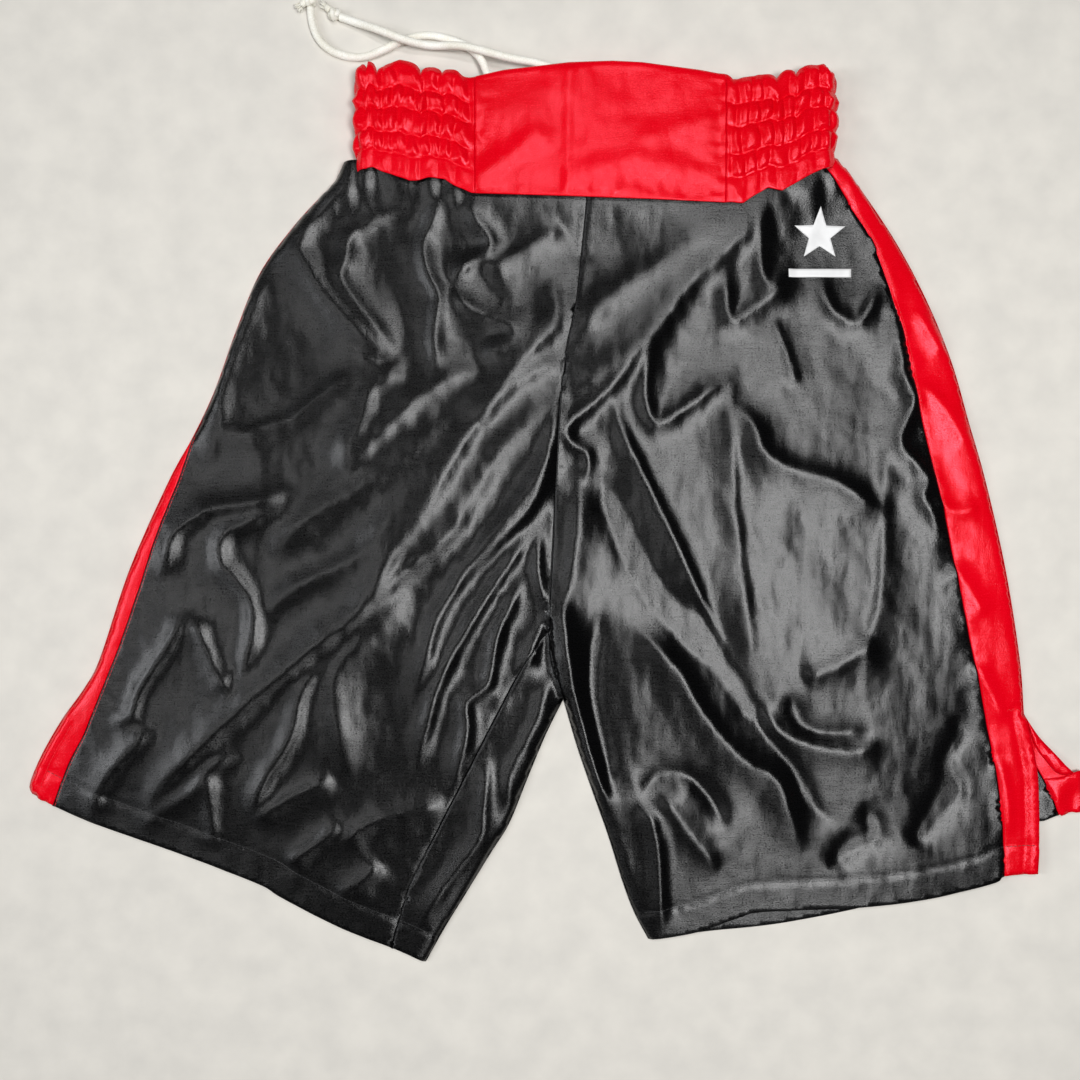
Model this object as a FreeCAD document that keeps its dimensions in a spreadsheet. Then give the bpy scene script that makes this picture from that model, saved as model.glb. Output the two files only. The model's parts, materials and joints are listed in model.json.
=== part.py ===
"""Boxing shorts laid flat on a level surface, front face up, waistband towards +Y.

Frame: +X towards the wearer's left side, +Y towards the waist, +Z up, millimetres.
The origin is on the surface, at the centre of the garment's outline.
Cloth is drawn thicker than it is, so that each layer holds the folds it lies in: a back layer on the
surface, the room inside the legs and seat, and a front layer over it. Each leg turns up along the fold
line and the waistband turns down along the waist seam, so the panels are cut along the fold line.
"""
import FreeCAD, Part
import math
import os
import Sketcher

doc = FreeCAD.newDocument("boxing_shorts")
sheet = doc.addObject("Spreadsheet::Sheet", "dims")

# ---------------------------------------------------------------- driving dimensions

SIZES = {
    # heights of the layers
    "back_cloth": 2.0,
    "inner_room": 6.0,
    "front_cloth": 5.0,
    "edge_wall": 3.0,
    # the lines that the garment folds along
    "waist_seam": 220.0,
    "leg_fold": -135.0,
    "fold_gap": 1.0,
    # waistband
    "band_left": 194.0,
    "band_right": -138.0,
    "band_bottom": 221.0,
    "band_height": 94.0,
    "elastic_bottom": 241.0,
    "elastic_height": 59.0,
    "interfacing_bottom": 224.0,
    "interfacing_height": 76.0,
    "band_thick": 17.6,
    "band_corner": 6.0,
    "panel_left": 125.0,
    "panel_right": -57.0,
    "thread_thick": 0.3,
    "thread_wide": 1.0,
    "satin_thick": 1.0,
    "elastic_thick": 1.5,
    "casing_room": 1.7,
    "lining_thick": 0.8,
    "ridge_rise": 2.5,
    "ridge_pitch": 17.6,
    "ridge_start": 6.0,
    "valley_wide": 2.0,
    # drawcord
    "cord_thick": 5.5,
    "cord_lift": 8.8,
    "casing_cord_wide": 8.0,
    "buttonhole_y": 258.0,
    "buttonhole_left_x": 42.0,
    "buttonhole_right_x": -2.0,
    "buttonhole_radius": 3.2,
    "buttonhole_rim": 1.8,
    "knot_radius": 4.6,
    "knot_long": 5.4,
    "tip_long": 9.0,
    # trim
    "seam_rise": 0.5,
    "bartack_long": 9.0,
    "bartack_wide": 2.4,
    "hem_depth": 20.0,
    "vent_facing": 9.0,
    "emblem_x": 186.0,
    "emblem_y": 197.0,
    "emblem_star": 19.0,
    "emblem_bar_long": 44.0,
    "emblem_bar_wide": 6.0,
    "emblem_bar_drop": 24.0,
    "label_wide": 30.0,
    "label_long": 45.0,
    "label_thick": 0.4,
}
SHIRRING_ROWS = 4

# Where the outlines and seams run. A name starts with the wearer's side.
PLACES = {
    # outer edge of the right side, from the waist down to the hem
    "right_hip_high": (-204, 182),
    "right_hip": (-234, 108),
    "right_turn": (-255, 58),
    "right_thigh": (-286, 3),
    "right_low": (-318, -88),
    "right_vent": (-363, -166),
    "right_hem_corner": (-371, -194),
    # right stripe seam
    "right_seam_turn": (-251, 58),
    "right_seam_thigh": (-275, 3),
    "right_seam_low": (-306, -88),
    "right_seam_vent": (-340, -166),
    "right_seam_hem": (-355, -204),
    # right hem and inner edge
    "right_hem_outer": (-265, -238),
    "right_hem_middle": (-175, -280),
    "right_hem_inseam": (-102, -312),
    "right_hem_inner": (-94, -315),
    "right_inner_low": (-65, -269),
    "right_inner_high": (-28, -206),
    # right inseam, which lies on the front
    "right_inseam_top": (-6, -82),
    "right_inseam_high": (-54, -170),
    "right_inseam_low": (-106, -270),
    # centre front
    "centre_high": (15, 157),
    "centre_middle": (6, 94),
    "centre_low": (-2, 10),
    "crotch": (-5, -60),
    "centre_back_middle": (10, 80),
    # left leg's inner edge and hem
    "left_inner_high": (22, -185),
    "left_inner_middle": (36, -227),
    "left_inner_low": (52, -269),
    "left_hem_inner": (62, -299),
    "left_hem_middle": (168, -281),
    "left_hem_outer": (261, -269),
    "left_seam_hem": (316, -253),
    "left_hem_corner": (338, -251),
    # left stripe seam
    "left_seam_high": (233, 161),
    "left_seam_hip": (254, 77),
    "left_seam_thigh": (276, -18),
    "left_seam_low": (295, -112),
    "left_seam_vent": (311, -196),
    # outer edge of the left side
    "left_high": (256, 161),
    "left_hip": (285, 87),
    "left_thigh": (307, 3),
    "left_low": (323, -80),
    "left_vent": (338, -196),
    # back half of the left stripe, which spreads out of the open vent
    "left_back_vent": (348, -165),
    "left_back_corner": (371, -190),
    "left_back_hem": (362, -207),
    "left_back_inner": (345, -213),
    # seams of the back layer
    "right_back_seam_hip": (-190, 108),
    "right_back_seam_hem": (-318, -219),
    "left_back_seam_hip": (240, 87),
    "left_back_seam_hem": (300, -256),
    "right_tuck_high": (-184, 182),
    "right_tuck_hip": (-214, 108),
    "right_tuck_low": (-252, 46),
}
# Where those lines meet the waist seam and the fold line: only X is free there.
WAIST_X = {"right_edge": -165, "right_tuck": -146, "right_back_seam": -118, "centre": 20,
           "left_back_seam": 176, "left_seam": 205, "left_edge": 222}
FOLD_X = {"right_edge": -342, "right_seam": -324, "right_back_seam": -294, "right_inseam": -36,
          "right_inner": 0, "left_inner": 8, "left_back_seam": 284, "left_seam": 300, "left_edge": 328}

# Each tail of the drawcord, from its buttonhole to its knot: up between the band's layers, over its top
# edge, and across the surface. The left tail rides over the right one twice.
LEFT_TAIL = [(42, 258, 8.8), (38, 282, 8.9), (20, 303, 9.2), (-8, 315.5, 9.3), (-31, 318.5, 10.4),
             (-47, 322, 13.2), (-68, 327, 13.2), (-86, 328.5, 6.4), (-104, 330.5, 11.4), (-122, 338, 11.4),
             (-138, 345.5, 5.0), (-151, 350.5, 3.8)]
RIGHT_TAIL = [(-2, 258, 8.5), (-18, 276, 8.5), (-36, 291, 8.5), (-47, 307, 8.6), (-51, 318.5, 8.1),
              (-59, 329, 2.8), (-73, 335.5, 2.8), (-91, 339, 2.8), (-107, 335, 2.8), (-121, 327.5, 2.8),
              (-135, 322, 2.8), (-150, 323.5, 2.8), (-164, 331, 2.8), (-171.5, 345, 2.8), (-172, 357, 3.6)]
LEFT_KNOT = (-155, 352, 4.8)
RIGHT_KNOT = (-172, 361.5, 4.8)
LEFT_TIP_AT = (-158, 355, 4.6)
RIGHT_TIP_AT = (-175, 361, 4.6)
LEFT_TIP_WAY = (-0.72, 0.69, -0.15)
RIGHT_TIP_WAY = (-0.84, -0.54, -0.15)


class Size:
    """A length with the expression that gives it from the sheet's cells."""

    def __init__(self, value, formula):
        self.value = value
        self.formula = formula

    def __add__(self, other):
        other = plain(other)
        return Size(self.value + other.value, f"({self.formula} + {other.formula})")

    def __sub__(self, other):
        other = plain(other)
        return Size(self.value - other.value, f"({self.formula} - {other.formula})")

    def __mul__(self, factor):
        return Size(self.value * factor, f"({self.formula} * {factor:.6f})")

    def __neg__(self):
        return Size(-self.value, f"(0 - {self.formula})")


def plain(number):
    """A number as a length, whether or not it already is one."""
    return number if isinstance(number, Size) else Size(float(number), f"{float(number):.6f}")


def fill_sheet():
    """Writes every driving dimension into the sheet as a plain number with an alias."""
    cells = dict(SIZES)
    for name, (x, y) in PLACES.items():
        cells[name + "_x"] = x
        cells[name + "_y"] = y
    cells.update({"waist_" + name + "_x": x for name, x in WAIST_X.items()})
    cells.update({"fold_" + name + "_x": x for name, x in FOLD_X.items()})
    for row, (alias, value) in enumerate(cells.items(), start=1):
        sheet.set(f"A{row}", alias.replace("_", " "))
        sheet.set(f"B{row}", f"{value}")
        sheet.setAlias(f"B{row}", alias)
    doc.recompute()
    return cells


CELLS = fill_sheet()


def dim(alias):
    """The length in one of the sheet's cells."""
    return Size(float(CELLS[alias]), "dims." + alias)


def place(name):
    """A corner at one of PLACES."""
    return dim(name + "_x"), dim(name + "_y")


def waist(name):
    """A corner on the waist seam's lower side."""
    return dim("waist_" + name + "_x"), dim("waist_seam") - dim("fold_gap") * 0.5


def above_fold(name):
    """A corner on the fold line's upper side."""
    return dim("fold_" + name + "_x"), dim("leg_fold") + dim("fold_gap") * 0.5


def below_fold(name):
    """A corner on the fold line's lower side."""
    return dim("fold_" + name + "_x"), dim("leg_fold") - dim("fold_gap") * 0.5


def moved(corner, dx=0, dy=0):
    return corner[0] + dx, corner[1] + dy


front_floor = dim("back_cloth") + dim("inner_room")
front_top = front_floor + dim("front_cloth")

# ---------------------------------------------------------------- building blocks


def origin_plane(body, role):
    return next(f for f in body.Origin.OriginFeatures if f.Role == role)


def closed_sketch(body, name, loops, role, offset):
    """A sketch of closed polygons whose corners are bound to the sheet."""
    sketch = body.newObject("Sketcher::SketchObject", name)
    sketch.AttachmentSupport = (origin_plane(body, role), [""])
    sketch.MapMode = "FlatFace"
    sketch.AttachmentOffset = FreeCAD.Placement(FreeCAD.Vector(0, 0, offset.value), FreeCAD.Rotation())
    sketch.setExpression("AttachmentOffset.Base.z", offset.formula)
    constraints = []
    formulas = []
    for corners in loops:
        first = sketch.GeometryCount
        spots = [FreeCAD.Vector(x.value, y.value, 0) for x, y in corners]
        sketch.addGeometry([Part.LineSegment(a, b) for a, b in zip(spots, spots[1:] + spots[:1])])
        for i, (x, y) in enumerate(corners):
            line = first + i
            following = first + (i + 1) % len(corners)
            constraints.append(Sketcher.Constraint("Coincident", line, 2, following, 1))
            constraints.append(Sketcher.Constraint("DistanceX", -1, 1, line, 1, x.value))
            formulas.append((len(constraints) - 1, x.formula))
            constraints.append(Sketcher.Constraint("DistanceY", -1, 1, line, 1, y.value))
            formulas.append((len(constraints) - 1, y.formula))
    sketch.addConstraint(constraints)
    for number, formula in formulas:
        sketch.setExpression(f"Constraints[{number}]", formula)
    return sketch


def add_pad(body, name, loops, bottom, height, role="XY_Plane"):
    """Adds a pad of closed outlines to a body, from bottom up by height along the plane's axis."""
    upwards = role != "XZ_Plane"
    sketch = closed_sketch(body, name + "_outline", loops, role, bottom if upwards else -bottom)
    pad = body.newObject("PartDesign::Pad", name)
    pad.Profile = sketch
    pad.Reversed = not upwards
    pad.Length = height.value
    pad.setExpression("Length", height.formula)
    sketch.Visibility = False
    return pad


def slab(label, *layers):
    """A body of stacked pads. Each layer is (outline, bottom, height)."""
    body = doc.addObject("PartDesign::Body", label)
    body.Label = label
    for number, (corners, bottom, height) in enumerate(layers, start=1):
        add_pad(body, f"{label}_layer_{number}", [corners], bottom, height)
    return body


def front(corners):
    """A layer of the front's cloth."""
    return corners, front_floor, dim("front_cloth")


def back(corners):
    """A layer of the back's cloth."""
    return corners, plain(0), dim("back_cloth")


def edge(corners, side):
    """The wall that joins the layers along an outer edge. Side is +1 where the wall grows towards +X."""
    inside = [moved(c, dx=dim("edge_wall") * side) for c in reversed(corners)]
    return corners + inside, dim("back_cloth"), dim("inner_room")


def ribbon(corners, dx=0, dy=0):
    """The outline of a thin strip along a line of corners, widened along X or Y."""
    return corners + [moved(c, dx, dy) for c in reversed(corners)]


def thread_on(bottom, *lines):
    """Layers for lines of stitching that lie on a surface. A steep line is widened along X."""
    wide = dim("thread_wide")
    layers = []
    for corners in lines:
        (start_x, start_y), (end_x, end_y) = corners[0], corners[-1]
        steep = abs(end_y.value - start_y.value) > abs(end_x.value - start_x.value)
        outline = ribbon(corners, dx=wide) if steep else ribbon(corners, dy=wide)
        layers.append((outline, bottom, dim("seam_rise")))
    return layers


def stitching(label, *groups):
    """A node of separate rows of stitching, one body per row joined as a compound."""
    rows = [slab(f"{label}_row_{number}", layer) for number, layer in enumerate(groups, start=1)]
    if len(rows) == 1:
        rows[0].Label = label
        return rows[0]
    node = doc.addObject("Part::Compound", label)
    node.Links = rows
    node.Label = label
    return node


# ---------------------------------------------------------------- seat and thighs (the body that stays put)


def make_seat():
    right_edge = [waist("right_edge"), place("right_hip_high"), place("right_hip"), place("right_turn")]
    right_lower_edge = [place("right_turn"), place("right_thigh"), place("right_low"),
                        above_fold("right_edge")]
    right_seam = [place("right_seam_turn"), place("right_seam_thigh"), place("right_seam_low"),
                  above_fold("right_seam")]
    centre = [waist("centre"), place("centre_high"), place("centre_middle"), place("centre_low"),
              place("crotch")]
    left_seam = [waist("left_seam"), place("left_seam_high"), place("left_seam_hip"),
                 place("left_seam_thigh"), place("left_seam_low"), above_fold("left_seam")]
    left_edge = [waist("left_edge"), place("left_high"), place("left_hip"), place("left_thigh"),
                 place("left_low"), above_fold("left_edge")]
    inseam = [place("crotch"), place("right_inseam_top"), above_fold("right_inseam")]
    back_centre = [waist("centre"), place("centre_back_middle"), place("crotch"), above_fold("right_inner")]
    right_back_seam = [waist("right_back_seam"), place("right_back_seam_hip"), above_fold("right_back_seam")]
    left_back_seam = [waist("left_back_seam"), place("left_back_seam_hip"), above_fold("left_back_seam")]
    tuck = [waist("right_tuck"), place("right_tuck_high"), place("right_tuck_hip"), place("right_tuck_low")]

    parts = [
        slab("front_right_panel_upper",
             front(right_edge + right_seam + inseam[::-1] + centre[::-1][1:]),
             edge(right_edge, 1)),
        slab("front_left_panel_upper",
             front(centre + [above_fold("left_inner")] + left_seam[::-1])),
        slab("right_stripe_front_upper",
             front(right_lower_edge + right_seam[::-1]),
             edge(right_lower_edge, 1),
             back(right_edge + [moved(place("right_turn"), dx=-2, dy=-8)] + tuck[::-1])),
        slab("left_stripe_front_upper",
             front(left_seam + left_edge[::-1]),
             edge(left_edge, -1)),
        slab("right_stripe_back_upper",
             back(tuck[:3] + [place("right_tuck_low"), moved(place("right_turn"), dx=-2, dy=-8),
                              place("right_thigh"), place("right_low"), above_fold("right_edge")]
                  + right_back_seam[::-1])),
        slab("left_stripe_back_upper", back(left_back_seam + left_edge[::-1])),
        slab("back_right_panel_upper",
             back(right_back_seam + back_centre[::-1]),
             ([above_fold("right_inner"), moved(above_fold("right_inner"), dx=-dim("edge_wall")),
               moved(place("right_inseam_top"), dy=-14), moved(place("right_inseam_top"), dx=2, dy=-14)],
              dim("back_cloth"), dim("inner_room")),
             front([place("right_inseam_top"), above_fold("right_inseam"), above_fold("right_inner")])),
        slab("back_left_panel_upper",
             back(back_centre + [above_fold("left_inner")] + left_back_seam[::-1])),
    ]
    wide = dim("thread_wide")
    left_inside = dim("edge_wall") + wide * 2
    right_inside = dim("edge_wall") + wide
    parts += [
        stitching("centre_front_seam", *thread_on(front_top, [moved(c, dx=wide * 0.5) for c in centre])),
        stitching("centre_back_seam", *thread_on(dim("back_cloth"), back_centre[:3])),
        stitching("left_stripe_seam_upper", *thread_on(front_top, left_seam)),
        stitching("right_stripe_seam_upper", *thread_on(front_top, [moved(c, dx=-wide) for c in right_seam])),
        stitching("right_inseam_upper", *thread_on(front_top, inseam[1:])),
        stitching("left_side_seam",
                  *thread_on(dim("back_cloth"), [moved(c, dx=-left_inside) for c in left_edge])),
        stitching("right_side_seam",
                  *thread_on(dim("back_cloth"), [moved(c, dx=right_inside) for c in right_lower_edge[1:]])),
        bartack("crotch_bartack", place("crotch"), front_top + dim("seam_rise")),
        emblem("thigh_emblem"),
    ]
    return parts


def bartack(label, corner, bottom):
    """A dense block of stitching that stops a seam from opening."""
    x, y = corner
    half_long = dim("bartack_long") * 0.5
    half_wide = dim("bartack_wide") * 0.5
    outline = [(x - half_long, y - half_wide), (x + half_long, y - half_wide),
               (x + half_long, y + half_wide), (x - half_long, y + half_wide)]
    return slab(label, (outline, bottom, dim("seam_rise")))


def emblem(label):
    """A plain star over a plain bar, as a thin heat-pressed film on the left thigh."""
    x, y = dim("emblem_x"), dim("emblem_y")
    star = []
    for k in range(10):
        reach = dim("emblem_star") * (1.0 if k % 2 == 0 else 0.42)
        turn = math.radians(90 + 36 * k)
        star.append((x + reach * math.cos(turn), y + reach * math.sin(turn)))
    half = dim("emblem_bar_long") * 0.5
    top = y - dim("emblem_bar_drop")
    bar = [(x - half, top), (x + half, top),
           (x + half, top - dim("emblem_bar_wide")), (x - half, top - dim("emblem_bar_wide"))]
    return stitching(label, (star, front_top, dim("seam_rise")), (bar, front_top, dim("seam_rise")))


# ---------------------------------------------------------------- legs below the fold line


def make_right_leg():
    outer = [below_fold("right_edge"), place("right_vent"), place("right_hem_corner")]
    seam = [below_fold("right_seam"), place("right_seam_vent"), place("right_seam_hem")]
    hem = [place("right_seam_hem"), place("right_hem_outer"), place("right_hem_middle"),
           place("right_hem_inseam")]
    inseam = [below_fold("right_inseam"), place("right_inseam_high"), place("right_inseam_low"),
              place("right_hem_inseam")]
    inner = [below_fold("right_inner"), place("right_inner_high"), place("right_inner_low"),
             place("right_hem_inner")]
    back_seam = [below_fold("right_back_seam"), place("right_back_seam_hem")]
    wide, facing, depth = dim("thread_wide"), dim("vent_facing"), dim("hem_depth")
    hem_row = [moved(hem[0], dx=10, dy=depth), moved(hem[1], dy=depth), moved(hem[2], dy=depth)]
    vent_row = [moved(c, dx=facing, dy=-3) for c in outer[:2]]
    return [
        slab("front_right_panel_lower", front(seam + hem[1:] + inseam[::-1][1:])),
        slab("right_stripe_front_lower", front(outer + seam[::-1]), edge(outer, 1)),
        slab("right_stripe_back_lower", back(outer + [place("right_seam_hem")] + back_seam[::-1])),
        slab("back_right_panel_lower",
             back(back_seam + hem[1:] + inner[::-1]),
             edge(inner, -1),
             front(inseam + inner[::-1])),
        stitching("right_stripe_seam_lower", *thread_on(front_top, [moved(c, dx=-wide) for c in seam])),
        stitching("right_inseam_lower", *thread_on(front_top, inseam)),
        stitching("right_hem_stitching", *thread_on(front_top, hem_row)),
        stitching("right_vent_stitching", *thread_on(front_top, vent_row)),
        bartack("right_vent_bartack", moved(below_fold("right_edge"), dx=facing, dy=-2),
                front_top + dim("seam_rise")),
    ]


def make_left_leg():
    seam = [below_fold("left_seam"), place("left_seam_vent"), place("left_seam_hem")]
    outer = [below_fold("left_edge"), place("left_vent"), place("left_hem_corner")]
    inner = [below_fold("left_inner"), place("left_inner_high"), place("left_inner_middle"),
             place("left_inner_low"), place("left_hem_inner")]
    hem = [place("left_hem_inner"), place("left_hem_middle"), place("left_hem_outer"), place("left_seam_hem")]
    back_seam = [below_fold("left_back_seam"), place("left_back_seam_hem")]
    spread = [below_fold("left_edge"), place("left_back_vent"), place("left_back_corner"),
              place("left_back_hem"), place("left_back_inner")]
    facing, depth = dim("vent_facing"), dim("hem_depth")
    hem_row = [moved(hem[0], dx=6, dy=depth), moved(hem[1], dy=depth), moved(hem[2], dy=depth)]
    return [
        slab("front_left_panel_lower", front(inner + hem[1:] + seam[::-1][1:]), edge(inner, 1)),
        slab("left_stripe_front_lower", front(seam + outer[::-1])),
        slab("left_stripe_back_lower", back(back_seam + spread[::-1])),
        slab("back_left_panel_lower", back(inner + hem[1:3] + back_seam[::-1])),
        stitching("left_stripe_seam_lower", *thread_on(front_top, seam)),
        stitching("left_inseam",
                  *thread_on(dim("back_cloth"), [moved(c, dx=dim("edge_wall") + 12) for c in inner])),
        stitching("left_hem_stitching", *thread_on(front_top, hem_row)),
        stitching("left_vent_stitching", *thread_on(front_top, [moved(c, dx=-facing) for c in outer]),
                  *thread_on(dim("back_cloth"), [moved(c, dx=-facing, dy=-4) for c in spread[1:3]])),
        bartack("left_vent_bartack", moved(below_fold("left_edge"), dx=-facing, dy=-2),
                front_top + dim("seam_rise")),
    ]


# ---------------------------------------------------------------- waistband

thread_depth = dim("thread_thick")
satin_depth = thread_depth + dim("satin_thick")
elastic_depth = satin_depth + dim("elastic_thick")
casing_depth = elastic_depth + dim("casing_room")
lining_depth = casing_depth + dim("lining_thick")
CHAMFER_SHRINK = 2 - math.sqrt(2)


def band_loop(depth):
    """The band's closed section in X and Z, that deep under its outer surface."""
    left, right, top = dim("band_left") - depth, dim("band_right") + depth, dim("band_thick") - depth
    cut = dim("band_corner") - depth * CHAMFER_SHRINK
    return [(right + cut, top), (right, top - cut), (right, depth + cut), (right + cut, depth),
            (left - cut, depth), (left, depth + cut), (left, top - cut), (left - cut, top)]


def wrap(outside, inside, from_x, to_x):
    """The section of a layer that runs round the sides and back and stops at two places on the front."""
    outer_top, inner_top = dim("band_thick") - outside, dim("band_thick") - inside
    outer_path = [(from_x, outer_top)] + band_loop(outside) + [(to_x, outer_top)]
    inner_path = [(from_x, inner_top)] + band_loop(inside) + [(to_x, inner_top)]
    return outer_path + inner_path[::-1]


def band_part(label, loops, bottom=None, height=None):
    """A body that follows the band's section, over its whole height unless told otherwise."""
    body = doc.addObject("PartDesign::Body", label)
    body.Label = label
    bottom = bottom or dim("band_bottom")
    height = height or dim("band_height")
    add_pad(body, label + "_band", loops, bottom, height, "XZ_Plane")
    return body


def plate(from_x, to_x, top, thick):
    """The section of a flat layer on the band's front."""
    return [(from_x, top - thick), (to_x, top - thick), (to_x, top), (from_x, top)]


def add_ridges(body, from_x, to_x):
    """The puffs that the satin makes between the rows of shirring, over one gathered section."""
    base = dim("band_thick") - thread_depth
    loops = []
    for k in range(SHIRRING_ROWS + 1):
        low = dim("band_bottom") + dim("ridge_start") + dim("ridge_pitch") * k + dim("valley_wide") * 0.5
        high = low + dim("ridge_pitch") - dim("valley_wide")
        slope = dim("ridge_rise")
        loops.append([(low, base), (high, base), (high - slope, base + slope), (low + slope, base + slope)])
    side = "left" if from_x.value > 0 else "right"
    add_pad(body, "ridges_" + side, loops, from_x, to_x - from_x, "YZ_Plane")


def make_waistband():
    panel_right, panel_left, top = dim("panel_right"), dim("panel_left"), dim("band_thick")
    flat_panel = plate(panel_right, panel_left, top - thread_depth, dim("satin_thick"))
    cover = band_part("waistband_gathered_cover", [wrap(thread_depth, satin_depth, panel_right, panel_left)])
    add_ridges(cover, dim("band_right") + dim("band_corner"), panel_right)
    add_ridges(cover, panel_left, dim("band_left") - dim("band_corner"))
    lining = band_part("waistband_lining", [band_loop(casing_depth), band_loop(lining_depth)])
    parts = [
        band_part("waistband_front_panel", [flat_panel]),
        cover,
        band_part("waistband_elastic", [wrap(satin_depth, elastic_depth, panel_right, panel_left)],
                  dim("elastic_bottom"), dim("elastic_height")),
        band_part("front_interfacing",
                  [plate(panel_right, panel_left, top - satin_depth, dim("elastic_thick"))],
                  dim("interfacing_bottom"), dim("interfacing_height")),
        shirring_rows(panel_right, panel_left),
        elastic_end_rows(panel_right, panel_left),
        band_part("waist_seam_stitching", [band_loop(plain(0)), band_loop(thread_depth)],
                  dim("band_bottom") + 2.5, dim("thread_wide")),
        care_label(),
    ]
    holes = [cut_buttonhole(lining, side) for side in ("left", "right")]
    parts += [lining, *holes, casing_cord()]
    return parts


def shirring_rows(panel_right, panel_left):
    """The rows of stitching that hold the gathered satin to the elastic."""
    rows = []
    for k in range(1, SHIRRING_ROWS + 1):
        height = dim("band_bottom") + dim("ridge_start") + dim("ridge_pitch") * k - dim("thread_wide") * 0.5
        rows.append(band_part(f"shirring_row_{k}", [wrap(plain(0), thread_depth, panel_right, panel_left)],
                              height, dim("thread_wide")))
    node = doc.addObject("Part::Compound", "shirring_stitches")
    node.Links = rows
    return node


def elastic_end_rows(panel_right, panel_left):
    """The upright rows that hold the elastic's two ends at the sides of the flat front panel."""
    top, wide = dim("band_thick"), dim("thread_wide")
    bottom, tall = dim("band_bottom") + 5, dim("band_height") - 8
    rows = [band_part(f"elastic_end_row_{n}", [plate(x, x + wide, top, thread_depth)], bottom, tall)
            for n, x in enumerate((panel_right + wide, panel_left - wide * 2), start=1)]
    node = doc.addObject("Part::Compound", "elastic_end_stitches")
    node.Links = rows
    return node


def care_label():
    """A blank label sewn inside the back of the band."""
    half = dim("label_wide") * 0.5
    middle = dim("waist_centre_x") + 40
    top = dim("band_bottom") + 70
    outline = [(middle - half, top - dim("label_long")), (middle + half, top - dim("label_long")),
               (middle + half, top), (middle - half, top)]
    return slab("care_label", (outline, lining_depth, dim("label_thick")))


def cut_buttonhole(lining, side):
    """Cuts one round hole through the front of the lining and returns the stitched rim that fills it."""
    x, y = dim(f"buttonhole_{side}_x"), dim("buttonhole_y")
    rim_radius = dim("buttonhole_radius") + dim("buttonhole_rim")
    low = dim("band_thick") - lining_depth
    sketch = round_sketch(lining, f"{side}_hole_outline", x, y, [rim_radius], low - 0.5)
    hole = lining.newObject("PartDesign::Pocket", f"{side}_hole")
    hole.Profile = sketch
    hole.Reversed = True
    hole.Length = (dim("lining_thick") + 1).value
    hole.setExpression("Length", (dim("lining_thick") + 1).formula)
    label = f"{side}_buttonhole"
    rim = doc.addObject("PartDesign::Body", label)
    ring = round_sketch(rim, f"{side}_rim_outline", x, y, [rim_radius, dim("buttonhole_radius")], low)
    pad = rim.newObject("PartDesign::Pad", f"{side}_rim")
    pad.Profile = ring
    pad.Length = dim("lining_thick").value
    pad.setExpression("Length", dim("lining_thick").formula)
    rim.Label = label
    return rim


def round_sketch(body, name, x, y, radii, offset):
    """A sketch of circles about one centre, bound to the sheet."""
    sketch = body.newObject("Sketcher::SketchObject", name)
    sketch.AttachmentSupport = (origin_plane(body, "XY_Plane"), [""])
    sketch.MapMode = "FlatFace"
    sketch.setExpression("AttachmentOffset.Base.z", offset.formula)
    middle = FreeCAD.Vector(x.value, y.value, 0)
    for radius in radii:
        ring = sketch.addGeometry(Part.Circle(middle, FreeCAD.Vector(0, 0, 1), radius.value))
        bonds = ((Sketcher.Constraint("DistanceX", -1, 1, ring, 3, x.value), x),
                 (Sketcher.Constraint("DistanceY", -1, 1, ring, 3, y.value), y),
                 (Sketcher.Constraint("Radius", ring, radius.value), radius))
        for bond, size in bonds:
            index = sketch.addConstraint(bond)
            sketch.setExpression(f"Constraints[{index}]", size.formula)
    return sketch


def casing_cord():
    """The drawcord's hidden length: flat in its casing, round the back, and down through both buttonholes."""
    label = "drawcord_in_casing"
    body = doc.addObject("PartDesign::Body", label)
    body.Label = label
    slack = 0.05
    outside, inside = elastic_depth + slack, casing_depth - slack
    from_x, to_x = dim("buttonhole_right_x"), dim("buttonhole_left_x")
    add_pad(body, label + "_flat", [wrap(outside, inside, from_x, to_x)],
            dim("buttonhole_y") - dim("casing_cord_wide") * 0.5, dim("casing_cord_wide"), "XZ_Plane")
    low = dim("cord_lift") + dim("cord_thick") * 0.5 + slack
    for side in ("left", "right"):
        sketch = round_sketch(body, f"{side}_drop_outline", dim(f"buttonhole_{side}_x"),
                              dim("buttonhole_y"), [dim("buttonhole_radius") - 0.5], low)
        pad = body.newObject("PartDesign::Pad", f"{side}_drop")
        pad.Profile = sketch
        height = dim("band_thick") - inside - low
        pad.Length = height.value
        pad.setExpression("Length", height.formula)
    return body


# ---------------------------------------------------------------- drawcord

RUN_SHARE = 0.45


def corner_radius(before, corner, after):
    """The arc that a cord takes at one corner of its route: as large as its two runs allow."""
    into, out = corner - before, after - corner
    turn = into.getAngle(out)
    return RUN_SHARE * min(into.Length, out.Length) / math.tan(turn / 2)


def cord_wire(name, route):
    """Straight runs joined by tangent arcs."""
    spots = [FreeCAD.Vector(*p) for p in route]
    edges = []
    reached = spots[0]
    radii = []
    for before, corner, after in zip(spots, spots[1:], spots[2:]):
        into, out = (corner - before).normalize(), (after - corner).normalize()
        turn = into.getAngle(out)
        radius = corner_radius(before, corner, after)
        step = radius * math.tan(turn / 2)
        start, end = corner - into * step, corner + out * step
        inward = (out - into).normalize()
        middle = corner + inward * (radius / math.cos(turn / 2) - radius)
        edges.append(Part.LineSegment(reached, start).toShape())
        edges.append(Part.Arc(start, middle, end).toShape())
        reached = end
        radii.append(round(radius, 1))
    edges.append(Part.LineSegment(reached, spots[-1]).toShape())
    print(name, "bend radii in mm:", radii)
    return Part.Wire(edges)


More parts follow.
